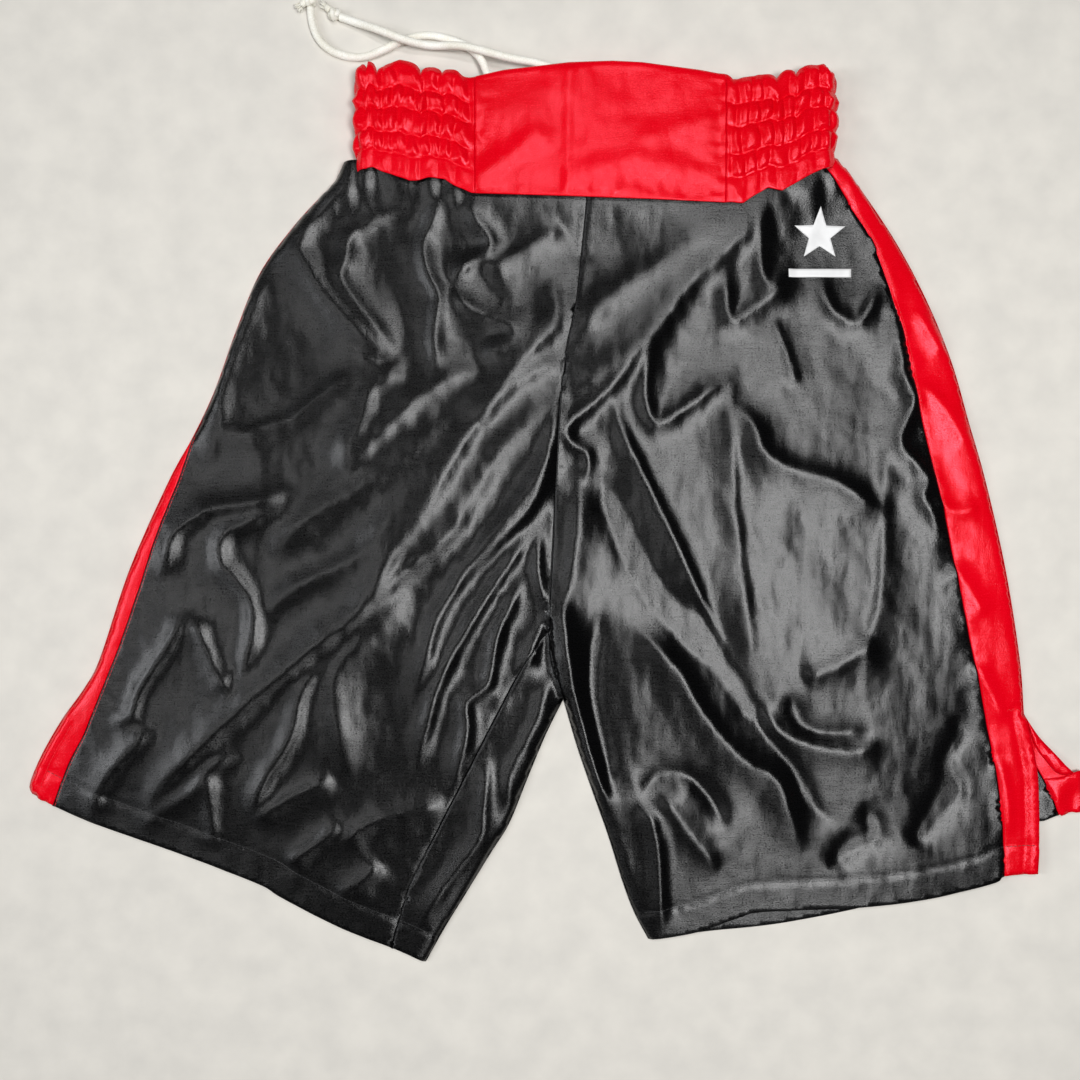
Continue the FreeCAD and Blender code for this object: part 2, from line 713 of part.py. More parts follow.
def cord_tube(label, route):
    """A round cord along its route, as a feature whose section comes from the sheet."""
    wire = cord_wire(label, route)
    start = FreeCAD.Vector(*route[0])
    way = FreeCAD.Vector(*route[1]) - start
    section = Part.Wire(Part.makeCircle(float(sheet.cord_thick) / 2, start, way))
    tube = doc.addObject("Part::Feature", label)
    tube.Shape = wire.makePipeShell([section], True, True)
    tube.Label = label
    area = math.pi * (float(sheet.cord_thick) / 2) ** 2
    share = tube.Shape.Volume / (area * wire.Length)
    print(label, "length", round(wire.Length, 1), "volume over section times length", round(share, 4))
    return tube


def tail_knot(label, centre, way):
    """An overhand knot's outer form: a short barrel with rounded ends, along the cord."""
    knot = doc.addObject("Part::Ellipsoid", label)
    knot.setExpression("Radius1", dim("knot_long").formula)
    knot.setExpression("Radius2", dim("knot_radius").formula)
    knot.setExpression("Radius3", dim("knot_radius").formula)
    knot.Placement = FreeCAD.Placement(FreeCAD.Vector(*centre),
                                       FreeCAD.Rotation(FreeCAD.Vector(0, 0, 1), FreeCAD.Vector(*way)))
    knot.Label = label
    return knot


def tail_tip(label, start, way):
    """The short free end past a knot."""
    tip = doc.addObject("Part::Cylinder", label)
    tip.setExpression("Radius", (dim("cord_thick") * 0.5).formula)
    tip.setExpression("Height", dim("tip_long").formula)
    tip.Placement = FreeCAD.Placement(FreeCAD.Vector(*start),
                                      FreeCAD.Rotation(FreeCAD.Vector(0, 0, 1), FreeCAD.Vector(*way)))
    tip.Label = label
    return tip


def make_drawcord():
    left_way = FreeCAD.Vector(*LEFT_TAIL[-1]) - FreeCAD.Vector(*LEFT_TAIL[-2])
    right_way = FreeCAD.Vector(*RIGHT_TAIL[-1]) - FreeCAD.Vector(*RIGHT_TAIL[-2])
    return [
        cord_tube("drawcord_left_tail", LEFT_TAIL),
        cord_tube("drawcord_right_tail", RIGHT_TAIL),
        tail_knot("left_tail_knot", LEFT_KNOT, left_way),
        tail_knot("right_tail_knot", RIGHT_KNOT, right_way),
        tail_tip("left_tail_tip", LEFT_TIP_AT, LEFT_TIP_WAY),
        tail_tip("right_tail_tip", RIGHT_TIP_AT, RIGHT_TIP_WAY),
    ]


# ---------------------------------------------------------------- build, check and write


def main():
    nodes = make_seat() + make_right_leg() + make_left_leg() + make_waistband() + make_drawcord()
    doc.recompute()
    failed = [o.Name for o in doc.Objects if "Invalid" in o.State or "Error" in o.State]
    if failed:
        raise RuntimeError(f"these features failed: {failed}")
    os.makedirs("parts", exist_ok=True)
    for node in nodes:
        shape = node.Shape
        if shape.isNull() or not shape.isValid() or shape.Volume <= 0:
            raise RuntimeError(f"{node.Label} has no valid solid")
        shape.exportStep(f"parts/{node.Label}.step")
    print(len(nodes), "nodes written")


main()
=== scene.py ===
"""The looks of a pair of satin boxing shorts that lie flat, front up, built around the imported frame.

+X is towards the wearer's left side, +Y towards the waist and +Z up. Outlines, seams and folds are listed in
millimetres in the frame's X and Y; everything that Blender holds is in metres.
"""
import json
import math

import bpy
import numpy as np
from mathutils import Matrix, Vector
from mathutils.bvhtree import BVHTree
from mathutils.geometry import delaunay_2d_cdt


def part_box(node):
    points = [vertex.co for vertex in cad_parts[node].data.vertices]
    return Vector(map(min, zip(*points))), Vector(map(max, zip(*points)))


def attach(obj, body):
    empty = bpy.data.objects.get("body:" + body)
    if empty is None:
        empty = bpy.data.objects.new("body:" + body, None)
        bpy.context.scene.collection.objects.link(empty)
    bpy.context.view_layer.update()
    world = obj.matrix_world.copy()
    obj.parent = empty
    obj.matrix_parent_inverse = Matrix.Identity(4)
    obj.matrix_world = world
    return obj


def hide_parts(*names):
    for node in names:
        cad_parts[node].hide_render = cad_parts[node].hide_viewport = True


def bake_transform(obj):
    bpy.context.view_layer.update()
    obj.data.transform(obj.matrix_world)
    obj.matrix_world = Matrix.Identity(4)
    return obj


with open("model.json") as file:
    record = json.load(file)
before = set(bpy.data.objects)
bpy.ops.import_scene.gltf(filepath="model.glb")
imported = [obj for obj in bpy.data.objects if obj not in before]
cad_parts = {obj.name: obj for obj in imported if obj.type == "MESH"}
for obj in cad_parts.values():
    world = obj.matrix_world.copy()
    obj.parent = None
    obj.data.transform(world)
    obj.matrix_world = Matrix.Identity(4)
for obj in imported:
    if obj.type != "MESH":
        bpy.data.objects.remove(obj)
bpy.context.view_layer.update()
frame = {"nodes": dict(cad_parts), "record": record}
MM = 0.001

# -------- heights and sizes, in millimetres

CORD_DIAMETER = 5.5
KNOT_REACH, KNOT_DEPTH, KNOT_CORD = 3.1, 1.9, 3.7
CLOTH_STEP = 2.8
LINE_STEP = 6
CLOTH_THICK = 0.5
LINING_THICK = 0.4
FILM_THICK, FILM_STEP = 0.25, 1.5
BACK_LEVEL = 1.0
FRONT_LEVEL = 4.6
EDGE_LEVEL = 1.4
WAIST_LEVEL = 13.6
WAIST_RISE = 46
MOST_RELIEF = 9.0
CREST_SHARE = 0.23
FOLD_SLOPE = 0.72
SEAM_WIDE = 1.0
EDGE_ROLL = 9.0
OVERLAP_STEP = 2.8
HEM_DEPTH = 20.0
HEM_CALM = 40
VENT_FACING = 8.5
VENT_SHARE = 1.7
BAND_LEFT, BAND_RIGHT = -137.5, 193.5
BAND_LOW, BAND_HIGH = 0.95, 16.9
BACK_TOP, BACK_BOTTOM = 306, 228
ELASTIC_TOP = 300.0
BAND_COLUMNS, BAND_ROWS = 560, 58
BAND_PITCH = 1.2
PANEL_LEFT, PANEL_RIGHT = -56.0, 119.0
PUFF_FRONT, PUFF_SIDE, PUFF_BACK = 4.0, 1.0, 0.85
PLEAT_PITCHES = (13.0, 8.5, 10.0, 9.0, 11.5)
PLEAT_SHARES = (0.35, 0.8, 1.0, 1.0, 0.9)
SHIRRING_SHARES = (0.2, 0.38, 0.6, 0.78)
LINING_PROFILE = ((2.5, 305.6), (3.3, 304), (3.9, 300), (4.1, 294), (4.15, 285), (4.15, 270), (4.3, 255),
                  (5.8, 242), (7.4, 231))
EMBLEM_MIDDLE = (185.0, 190.0)
EMBLEM_CALM = (30, 32)
STAR_REACH, STAR_WAIST = 19.0, 0.42
BAR_WIDE = 6.0
STITCH_PITCH = 3.0
STRIPE_GAP, INSEAM_GAP, SIDE_GAP, LEFT_INSEAM_GAP = 1.6, 1.4, 9, 14
THREAD, THICK_THREAD = 0.34, 0.4
FLOOR_HALF = 3000

# Where the legs and the band bend, in metres. The script passes these places to dress but reads nothing from
# them.
LEG_BEND = ((0, -0.105, 0), (0, -0.165, 0))
BAND_BEND = ((0, 0.219, 0), (0, 0.229, 0))

# The camera, and the lights: place, aim, size, power and colour, in metres and watts.
CAMERA_PLACE = (-0.0105, -0.0175, 0.783)
CAMERA_VIEW = 52
LIGHTS = (
    ("ceiling_light", (0.45, -0.15, 1.6), (0.1, -0.05, 0), (0.45, 0.45), 19, (1, 1, 1)),
    ("far_light", (0.08, 0.52, 1.35), (0, 0.1, 0), (0.3, 0.12), 4, (1, 1, 1)),
    ("window_light", (-1.5, 0.0, 1.2), (0, 0, 0), (0.3, 0.7), 11, (0.95, 0.97, 1)),
    ("near_light", (-0.78, 0.04, 1.6), (-0.2, -0.1, 0), (0.3, 0.3), 3.5, (1, 1, 1)),
)

# Which piece a face of a cloth layer belongs to.
(FRONT_RIGHT, FRONT_LEFT, STRIPE_RIGHT, STRIPE_LEFT,
 BACK_RIGHT, BACK_LEFT, STRIPE_BACK_RIGHT, STRIPE_BACK_LEFT) = range(8)

# -------- outlines and seams

RIGHT_OUTER = [(-150, 246), (-155, 235), (-166, 224), (-185, 203), (-208, 171), (-225, 130), (-240, 88),
               (-255, 56), (-272, 25), (-300, -38), (-321, -101), (-332, -122), (-347, -143), (-360, -165),
               (-369, -185), (-370, -194), (-366, -198)]
RIGHT_HEM = [(-366, -198), (-353, -204), (-323, -217), (-264, -238), (-209, -259), (-192, -269),
             (-151, -290), (-110, -306), (-91, -315)]
RIGHT_INNER = [(-91, -315), (-77, -290), (-64, -269), (-45, -238), (-32, -217), (-19, -185), (-6, -154),
               (6, -130)]
LEFT_INNER = [(6, -130), (16, -164), (27, -196), (38, -227), (48, -259), (56, -280), (66, -299)]
LEFT_HEM = [(66, -299), (100, -293), (129, -283), (146, -279), (211, -276), (262, -270), (308, -259),
            (316, -254), (339, -252)]
LEFT_VENT = [(339, -252), (340, -231), (340, -192), (338, -173), (334.5, -157), (331, -140)]
LEFT_OUTER = [(331, -140), (328, -101), (318, -38), (304, 24), (292, 66), (280, 108), (263, 150),
              (241, 192), (213, 234), (200, 249)]
WAIST_LINE = [(200, 249), (186, 247), (171, 240), (157, 233), (147, 234), (138, 229), (130, 224),
              (119, 224), (66, 226), (10, 228), (-58, 230), (-66, 234), (-76, 240), (-87, 241), (-101, 240),
              (-113, 244), (-126, 248), (-150, 246)]
BACK_RIGHT_HEM = [(-366, -198), (-353, -203), (-323, -215), (-264, -236), (-209, -257), (-192, -267),
                  (-151, -288), (-110, -304), (-91, -315)]
BACK_LEFT_HEM = [(66, -299), (108, -293.5), (165, -287), (235, -272), (290, -250), (318, -232),
                 (336, -217.5), (345, -215.5), (354.5, -211), (371, -207.5)]
BACK_LEFT_VENT = [(371, -207.5), (371.5, -181), (364, -181), (358, -174.5), (350, -165.5), (341.5, -156),
                  (334, -145), (331, -140)]
FLAP_HEM = [(344.5, -186), (357, -184), (371, -181), (371, -207), (362.5, -209), (355, -211), (350, -199)]
FLAP_FACING = [(333, -144.5), (341.5, -156.5), (350, -166), (358, -175), (364, -181.5), (354, -182),
               (345, -172), (338, -161)]

RIGHT_STRIPE_SEAM = [(-255, 56), (-265, 25), (-281, -17), (-302, -80), (-318, -122), (-331, -154),
                     (-342, -175), (-353, -204)]
LEFT_STRIPE_SEAM = [(188, 242), (202, 224), (223, 192), (244, 130), (258, 66), (273, 4), (290, -80),
                    (303, -143), (311, -185), (316, -234), (316, -254)]
CENTRE_SEAM = [(23, 225), (16, 155), (9, 120), (4, 83), (-1, -15), (-4, -74)]
RIGHT_INSEAM = [(-4, -80), (-21, -104), (-47, -153), (-82, -221), (-103, -262), (-115, -304)]
RIGHT_BACK_SEAM = [(-118, 244), (-190, 108), (-294, -135), (-318, -216)]
LEFT_BACK_SEAM = [(176, 243), (240, 87), (286, -90), (324, -152), (344.5, -186), (354.5, -211)]
CENTRE_BACK = [(20, 227), (10, 80), (-5, -60), (2, -110), (6, -130)]
RIGHT_TUCK = [(-146, 245), (-184, 182), (-214, 108), (-255, 46)]
LEG_OVERLAP = [(-4, -74), (-2, -100), (6, -130)]
DIVIDE = CENTRE_SEAM + LEG_OVERLAP[1:] + [(3, -200), (-10, -320)]
TURNED_EDGES = [RIGHT_OUTER, RIGHT_INNER, LEFT_INNER, LEFT_OUTER]
FRONT_SEAMS = [RIGHT_STRIPE_SEAM, LEFT_STRIPE_SEAM, CENTRE_SEAM, RIGHT_INSEAM]
GATHER_RANGES = ((-150, -60), (128, 200))

BAND_BOTTOM_EDGE = [(-142, 238), (-126, 240), (-113, 236), (-101, 231), (-87, 233), (-76, 232), (-66, 226),
                    (-58, 222.5), (10, 220.5), (66, 218.5), (119, 216), (130, 216), (138, 221),
                    (147, 226.5), (157, 224), (171, 232), (183, 238), (201, 245)]
BAND_TOP_EDGE = [(-142, 306), (-135, 311), (-126, 313), (-119, 309), (-108, 313), (-97, 312), (-86, 308),
                 (-77, 308), (-66, 304), (-56, 303.5), (-36, 308), (10, 313.5), (40, 314.5), (60, 313.5),
                 (101, 308), (119, 304.5), (143, 302), (164, 307), (180, 311), (187, 314), (193, 309),
                 (201, 303)]

# Folds of the front: the height, how far the slope reaches on the line's left and on its right, and the line.
FOLDS = [
    (5, 11, 16, (-124, 234), (-146, 226), (-167, 209), (-180, 190), (-174, 177), (-158, 151), (-131, 123),
     (-112, 110)),
    (4.5, 9, 14, (-112, 110), (-114, 100), (-129, 87), (-135, 68), (-150, 33)),
    (4, 7, 12, (-101, 218), (-141, 198), (-146, 181), (-150, 168), (-139, 149), (-111, 114)),
    (5, 10, 7, (-75, 228), (-88, 204), (-93, 187), (-88, 166), (-82, 153), (-85, 128), (-84, 95)),
    (5, 7, 10, (-64, 218), (-54, 204), (-45, 192), (-49, 183), (-64, 174), (-73, 162)),
    (5, 9, 12, (-73, 162), (-60, 145), (-30, 132), (-34, 121), (-54, 110)),
    (5.5, 9, 16, (-54, 104), (-79, 93), (-103, 76), (-124, 55), (-150, 27)),
    (5, 16, 10, (6, 202), (-19, 187), (-51, 168)),
    (7, 8, 20, (-2, 168), (0, 136), (-21, 112), (-41, 85), (-64, 52), (-82, 24), (-103, -8), (-126, -46)),
    (4, 10, 12, (6, 110), (-19, 98), (-41, 80), (-52, 61)),
    (6, 16, 24, (0, 84), (-38, 46), (-60, 14), (-82, -10), (-105, -36)),
    (5, 6, 11, (4, 87), (-2, 54), (-8, 24), (-21, 1), (-41, -20), (-56, -40)),
    (6, 18, 18, (-73, 70), (-103, 42), (-141, 16), (-182, -10), (-197, -33)),
    (3.5, 12, 22, (-201, 174), (-216, 144), (-231, 106), (-236, 61), (-246, 33)),
    (3, 7, 16, (-236, 59), (-216, 57), (-201, 63), (-182, 70), (-142, 102)),
    (5, 8, 10, (-184, 16), (-214, 8), (-242, 4), (-264, -10), (-270, -21), (-276, -46)),
    (5, 9, 9, (-188, 5), (-214, -5), (-233, -15), (-234, -34), (-224, -44), (-213, -61), (-212, -84),
     (-222, -118)),
    (8, 8, 17, (-68, 52), (-87, 14), (-114, -26), (-133, -64), (-170, -94), (-214, -131), (-250, -164),
     (-274, -188), (-292, -214)),
    (5, 7, 11, (-2, 66), (-8, 36), (-24, 9), (-54, -28), (-80, -68), (-92, -106), (-102, -134)),
    (5, 6, 10, (-12, -6), (-32, -34), (-62, -81), (-80, -116), (-87, -138), (-97, -178)),
    (4, 5, 7, (-10, -6), (-12, -38), (-7, -68), (-17, -98), (-27, -118)),
    (5, 6, 9, (-20, -41), (-40, -84), (-47, -118), (-62, -131), (-62, -154), (-72, -196)),
    (4, 8, 8, (-77, -204), (-92, -206), (-124, -214), (-152, -231)),
    (5, 16, 12, (-77, 34), (-100, 12), (-137, -28), (-187, -54), (-204, -78)),
    (4, 8, 10, (-128, -64), (-107, -41), (-77, -16), (-57, 9)),
    (5, 20, 16, (-100, -54), (-130, -84), (-152, -108), (-154, -134), (-144, -184)),
    (4, 8, 8, (-224, -121), (-234, -118), (-244, -94), (-254, -71)),
    (4, 7, 8, (-257, -66), (-274, -96), (-292, -124), (-297, -141), (-314, -146)),
    (5, 10, 12, (-282, -148), (-310, -178), (-322, -198), (-324, -218)),
    (4, 9, 9, (-220, -166), (-242, -178), (-254, -194), (-280, -211), (-292, -224)),
    (3.5, 7, 9, (-242, -181), (-242, -208), (-238, -236)),
    (5, 6, 12, (-162, -106), (-177, -124), (-184, -154), (-202, -184), (-216, -214)),
    (4, 8, 10, (-214, -216), (-184, -198), (-154, -184)),
    (4, 6, 9, (-47, -166), (-50, -204), (-52, -226), (-74, -256), (-97, -291)),
    (3.5, 10, 8, (0, -106), (-14, -146), (-32, -184), (-32, -211)),
    (4, 8, 8, (-190, -246), (-167, -231), (-150, -216)),
    (3, 8, 8, (-154, -268), (-134, -256), (-122, -244)),
    (6, 13, 15, (124, 220), (96, 191), (69, 172), (40, 153), (21, 133), (14, 119)),
    (8, 11, 22, (146, 215), (120, 186), (93, 162), (69, 128), (52, 114), (30, 100), (9, 85)),
    (5, 7, 8, (64, 126), (45, 97), (26, 78), (9, 63), (11, 51), (23, 42), (21, 20)),
    (4.5, 8, 8, (67, 126), (63, 90), (67, 68), (75, 65), (98, 80), (124, 100)),
    (4, 14, 8, (18, 27), (16, -7), (11, -43), (6, -79), (14, -127)),
    (-5, 20, 16, (30, 34), (50, -19), (81, -67), (115, -110)),
    (4, 5, 16, (46, 90), (44, 71), (55, 44), (86, -21), (115, -86), (129, -113)),
    (5, 7, 9, (137, 225), (144, 198), (144, 179), (150, 162), (168, 174)),
    (4, 8, 9, (120, 174), (120, 155), (124, 136), (139, 145), (168, 165)),
    (4, 7, 8, (187, 174), (190, 153), (199, 140), (214, 136), (228, 162)),
    (4, 6, 10, (231, 162), (240, 133), (245, 100), (252, 80), (243, 51), (262, 27), (259, 13), (268, -7),
     (270, -31)),
    (6, 7, 16, (124, 80), (141, 61), (146, 46), (163, 34), (194, 25), (214, 13), (233, -2)),
    (1.6, 4, 14, (124, 109), (124, 66), (127, 5), (134, -55), (141, -115)),
    (1.6, 14, 4, (231, 61), (231, -2), (228, -55), (219, -91), (216, -132)),
    (2, 4, 8, (153, 138), (163, 114), (170, 90)),
    (5, 6, 9, (6, -60), (11, -106), (23, -161), (35, -197), (47, -200)),
    (-4, 8, 8, (33, -67), (26, -118), (35, -166), (40, -195)),
    (6, 8, 18, (55, -77), (86, -108), (96, -127), (115, -154), (134, -173), (156, -185), (165, -209),
     (173, -238)),
    (-5, 10, 14, (93, -46), (120, -106), (144, -147), (168, -180), (182, -205), (206, -219)),
    (5, 6, 9, (59, -200), (69, -219), (73, -250), (75, -296)),
    (-4, 9, 9, (62, -195), (74, -183), (93, -183), (110, -200), (120, -219)),
    (4, 10, 10, (74, -195), (91, -219), (115, -250)),
    (4, 8, 14, (146, -132), (156, -152), (178, -161), (206, -166), (231, -161)),
    (-4, 8, 8, (165, -125), (173, -147), (194, -154), (221, -152)),
    (4, 10, 12, (226, -89), (194, -108), (173, -115)),
    (-4, 10, 10, (252, -234), (267, -209), (284, -190)),
    (-4, 10, 10, (192, -250), (206, -234), (226, -224), (216, -202)),
    (-3.5, 6, 8, (279, -142), (286, -154), (276, -176), (288, -200)),
    (2.5, 6, 9, (205, 222), (222, 196), (234, 172), (243, 148)),
    (2.5, 5, 8, (252, 146), (264, 128), (274, 112)),
    (2.5, 6, 9, (252, 96), (268, 82), (280, 66), (292, 44)),
    (2.5, 7, 7, (264, 14), (282, 2), (298, 6)),
    (2.5, 6, 9, (278, -34), (290, -50), (302, -72)),
    (2.5, 7, 8, (292, -104), (304, -120), (316, -146)),
    (2, 5, 7, (312, -170), (318, -196), (320, -226)),
]

# Routes of the drawcord's tails, from the buttonholes inside the band to the knots.
LEFT_TAIL = [(42, 258, 8.8), (38, 282, 8.9), (20, 303, 9.2), (-8, 315.5, 9.3), (-31, 318.5, 10.4),
             (-47, 322, 13.2), (-68, 327, 13.2), (-86, 328.5, 6.4), (-104, 330.5, 11.4), (-122, 338, 11.4),
             (-138, 345.5, 5.0), (-151, 350.5, 3.8)]
RIGHT_TAIL = [(-2, 258, 8.5), (-18, 276, 8.5), (-36, 291, 8.5), (-47, 307, 8.6), (-51, 318.5, 8.1),
              (-59, 329, 2.8), (-73, 335.5, 2.8), (-91, 339, 2.8), (-107, 335, 2.8), (-121, 327.5, 2.8),
              (-135, 322, 2.8), (-150, 323.5, 2.8), (-164, 331, 2.8), (-171.5, 345, 2.8), (-172, 357, 3.6)]

# At each tail's end: the knot's middle and the way through it, and where the cut end starts and points.
TAIL_ENDS = {"left": ((-155, 352, 4.8), (-0.72, 0.69, 0), (-158, 355, 4.6), (-0.72, 0.69, -0.15)),
             "right": ((-172, 361.5, 4.8), (-0.5, 0.86, 0), (-175, 361, 4.6), (-0.84, -0.54, -0.15))}

# Soft pulls in the flat front panel: height, reach and line.
PANEL_PULLS = ((1.3, 8, [(-54, 236), (-34, 247), (-14, 262)]),
               (1.2, 9, [(70, 262), (92, 268), (116, 272)]),
               (0.9, 8, [(14, 236), (56, 246), (112, 232)]))

# -------- material helpers


class Nodes:
    """A short way to build a material's node tree."""

    def __init__(self, name):
        self.material = bpy.data.materials.new(name)
        self.material.use_nodes = True
        self.tree = self.material.node_tree
        self.tree.nodes.clear()

    def add(self, kind, **settings):
        """Adds a node. Capitalised names are inputs, with _ for a space, and lower-case ones are settings."""
        node = self.tree.nodes.new(kind)
        for key, value in settings.items():
            if key[0].isupper():
                self.put(node.inputs[key.replace("_", " ")], value)
            else:
                setattr(node, key, value)
        return node

    def put(self, socket, value):
        if isinstance(value, bpy.types.NodeSocket):
            self.tree.links.new(value, socket)
        else:
            socket.default_value = value

    def math(self, operation, a, b=0.5):
        node = self.add("ShaderNodeMath", operation=operation)
        self.put(node.inputs[0], a)
        self.put(node.inputs[1], b)
        return node.outputs[0]

    def noise(self, vector, scale, detail=2.0):
        """Noise over a vector that is stretched by scale, a number for each axis."""
        place = self.add("ShaderNodeMapping", Vector=vector, Scale=scale).outputs[0]
        return self.add("ShaderNodeTexNoise", Vector=place, Scale=1.0, Detail=detail).outputs["Fac"]

    def spread(self, value, low, high, from_low=0.3, from_high=0.7):
        return self.add("ShaderNodeMapRange", Value=value, From_Min=from_low, From_Max=from_high,
                        To_Min=low, To_Max=high).outputs[0]

    def mix(self, factor, a, b):
        node = self.add("ShaderNodeMix", data_type="RGBA")
        self.put(node.inputs["Factor"], factor)
        self.put(node.inputs[6], a)
        self.put(node.inputs[7], b)
        return node.outputs[2]

    def bump(self, strength, distance, height, **under):
        return self.add("ShaderNodeBump", Strength=strength, Distance=distance, Height=height,
                        **under).outputs[0]

    def finish(self, colour, **look):
        shader = self.add("ShaderNodeBsdfPrincipled", Base_Color=colour, **look)
        self.tree.links.new(shader.outputs[0], self.add("ShaderNodeOutputMaterial").inputs[0])
        return self.material


def cloth_place(nodes):
    """Where a point of the cloth was before it was laid down, in metres."""
    return nodes.add("ShaderNodeUVMap", uv_map="cloth").outputs[0]


def satin(name, dark, light, roughness, stretch, gloss, crinkle, tint):
    """A satin weave: crosswise floats that break its gloss into a grain, on cloth that is finely crinkled."""
    nodes = Nodes(name)
    place = cloth_place(nodes)
    floats = nodes.noise(place, (800, 1500, 1), 3)
    slubs = nodes.noise(place, (90, 800, 1), 2)
    cloud = nodes.noise(place, (9, 13, 1), 3)
    crinkles = nodes.noise(place, (70, 30, 1), 1.5)
    grain = nodes.math("ADD", nodes.math("MULTIPLY", floats, 0.75), nodes.math("MULTIPLY", slubs, 0.25))
    mottle = nodes.math("ADD", grain, nodes.math("MULTIPLY", cloud, 0.35))
    colour = nodes.mix(nodes.spread(mottle, 0, 1, 0.5, 0.85), dark, light)
    creased = nodes.bump(0.8, crinkle, crinkles)
    bump = nodes.bump(0.6, 0.0003, grain, Normal=creased)
    tangent = nodes.add("ShaderNodeTangent", direction_type="UV_MAP", uv_map="cloth").outputs[0]
    return nodes.finish(colour, Normal=bump, Tangent=tangent,
                        Roughness=nodes.spread(grain, roughness - 0.07, roughness + 0.12),
                        Specular_IOR_Level=nodes.spread(grain, gloss * 0.45, gloss * 1.55, 0.35, 0.65),
                        Specular_Tint=tint, Anisotropic=stretch, Anisotropic_Rotation=0.25)


def yarn(name, dark, light, twist=900):
    """Spun thread or cord: fine twisted strands, matt."""
    nodes = Nodes(name)
    place = nodes.add("ShaderNodeTexCoord").outputs["Object"]
    strands = nodes.noise(place, (twist, twist, twist), 3)
    cloud = nodes.noise(place, (60, 60, 60), 2)
    colour = nodes.mix(nodes.spread(nodes.math("ADD", strands, cloud), 0, 1, 0.75, 1.25), dark, light)
    return nodes.finish(colour, Normal=nodes.bump(0.5, 0.0003, strands), Roughness=0.7, Sheen_Weight=0.25,
                        Sheen_Roughness=0.5)


def webbing(name, dark, light):
    """Ribbed woven elastic, interfacing or ribbon."""
    nodes = Nodes(name)
    place = nodes.add("ShaderNodeTexCoord").outputs["Object"]
    ribs = nodes.add("ShaderNodeTexWave", Vector=place, Scale=180.0, Distortion=0.6, bands_direction="Y")
    fibres = nodes.noise(place, (1500, 400, 400), 2)
    height = nodes.math("ADD", ribs.outputs["Fac"], fibres)
    colour = nodes.mix(nodes.spread(height, 0, 1, 0.5, 1.4), dark, light)
    return nodes.finish(colour, Normal=nodes.bump(0.5, 0.0004, height), Roughness=0.75)


def film(name, dark, light):
    """Heat-pressed film that takes the cloth's grain and has fine scuffs."""
    nodes = Nodes(name)
    place = cloth_place(nodes)
    grain = nodes.noise(place, (400, 1500, 1), 2)
    scuffs = nodes.noise(place, (90, 60, 1), 4)
    colour = nodes.mix(nodes.spread(scuffs, 0, 1), dark, light)
    return nodes.finish(colour, Normal=nodes.bump(0.2, 0.0002, grain),
                        Roughness=nodes.spread(scuffs, 0.35, 0.5))


MATERIALS = {
    "black_satin": satin("black_satin", (0.0005, 0.0005, 0.0006, 1), (0.002, 0.002, 0.0022, 1),
                         0.28, 0.85, 0.5, 0.0010, (1, 1, 1, 1)),
    "red_satin": satin("red_satin", (0.69, 0.0, 0.004, 1), (0.86, 0.0003, 0.012, 1),
                       0.21, 0.4, 0.7, 0.0010, (1, 0.20, 0.27, 1)),
    "ivory_cord": yarn("ivory_cord", (0.80, 0.77, 0.66, 1), (0.97, 0.96, 0.90, 1)),
    "white_elastic": webbing("white_elastic", (0.55, 0.54, 0.50, 1), (0.85, 0.84, 0.80, 1)),
    "red_thread": yarn("red_thread", (0.68, 0.0, 0.01, 1), (0.90, 0.006, 0.02, 1), 2500),
    "black_thread": yarn("black_thread", (0.008, 0.008, 0.009, 1), (0.05, 0.05, 0.052, 1), 2500),
    "white_film": film("white_film", (0.74, 0.74, 0.74, 1), (0.88, 0.88, 0.88, 1)),
    "label_ribbon": webbing("label_ribbon", (0.70, 0.69, 0.66, 1), (0.88, 0.87, 0.84, 1)),
}

# -------- lines and noise


def smooth_line(points, step):
    """Points at an even step along a smooth curve through a list of points."""
    p = np.array(points, float)
    p = np.vstack([2 * p[0] - p[1], p, 2 * p[-1] - p[-2]])
    t = np.linspace(0, 1, 12, endpoint=False)[:, None]
    spans = [0.5 * (2 * b + (c - a) * t + (2 * a - 5 * b + 4 * c - d) * t ** 2
                    + (3 * b - a - 3 * c + d) * t ** 3) for a, b, c, d in zip(p, p[1:], p[2:], p[3:])]
    dense = np.vstack(spans + [p[-2][None]])
    along = np.concatenate([[0], np.cumsum(np.linalg.norm(np.diff(dense, axis=0), axis=1))])
    even = np.linspace(0, along[-1], max(2, round(along[-1] / step) + 1))
    return np.column_stack([np.interp(even, along, dense[:, k]) for k in range(dense.shape[1])])


def beside(line, gap, step=4.0):
    """A smooth line that runs at a distance to the left of another."""
    line = smooth_line(line, step)
    way = np.gradient(line, axis=0)
    way /= np.linalg.norm(way, axis=1)[:, None]
    return line + gap * np.column_stack([-way[:, 1], way[:, 0]])


def smoothstep(value, low, high):
    share = np.clip((value - low) / (high - low), 0, 1)
    return share * share * (3 - 2 * share)


def bell(value, width):
    return np.exp(-(value / width) ** 2)


def lumps(x, y, scale, seed):
    """Smooth noise from -1 to 1 whose lumps are about scale across."""
    lattice = np.random.default_rng(seed).uniform(-1, 1, (64, 64))
    u, v = x / scale + 31.7, y / scale + 17.3
    i, j = np.floor(u).astype(int), np.floor(v).astype(int)
    fu, fv = smoothstep(u - i, 0, 1), smoothstep(v - j, 0, 1)
    near = lattice[i % 64, j % 64] * (1 - fu) + lattice[(i + 1) % 64, j % 64] * fu
    far = lattice[i % 64, (j + 1) % 64] * (1 - fu) + lattice[(i + 1) % 64, (j + 1) % 64] * fu
    return near * (1 - fv) + far * fv


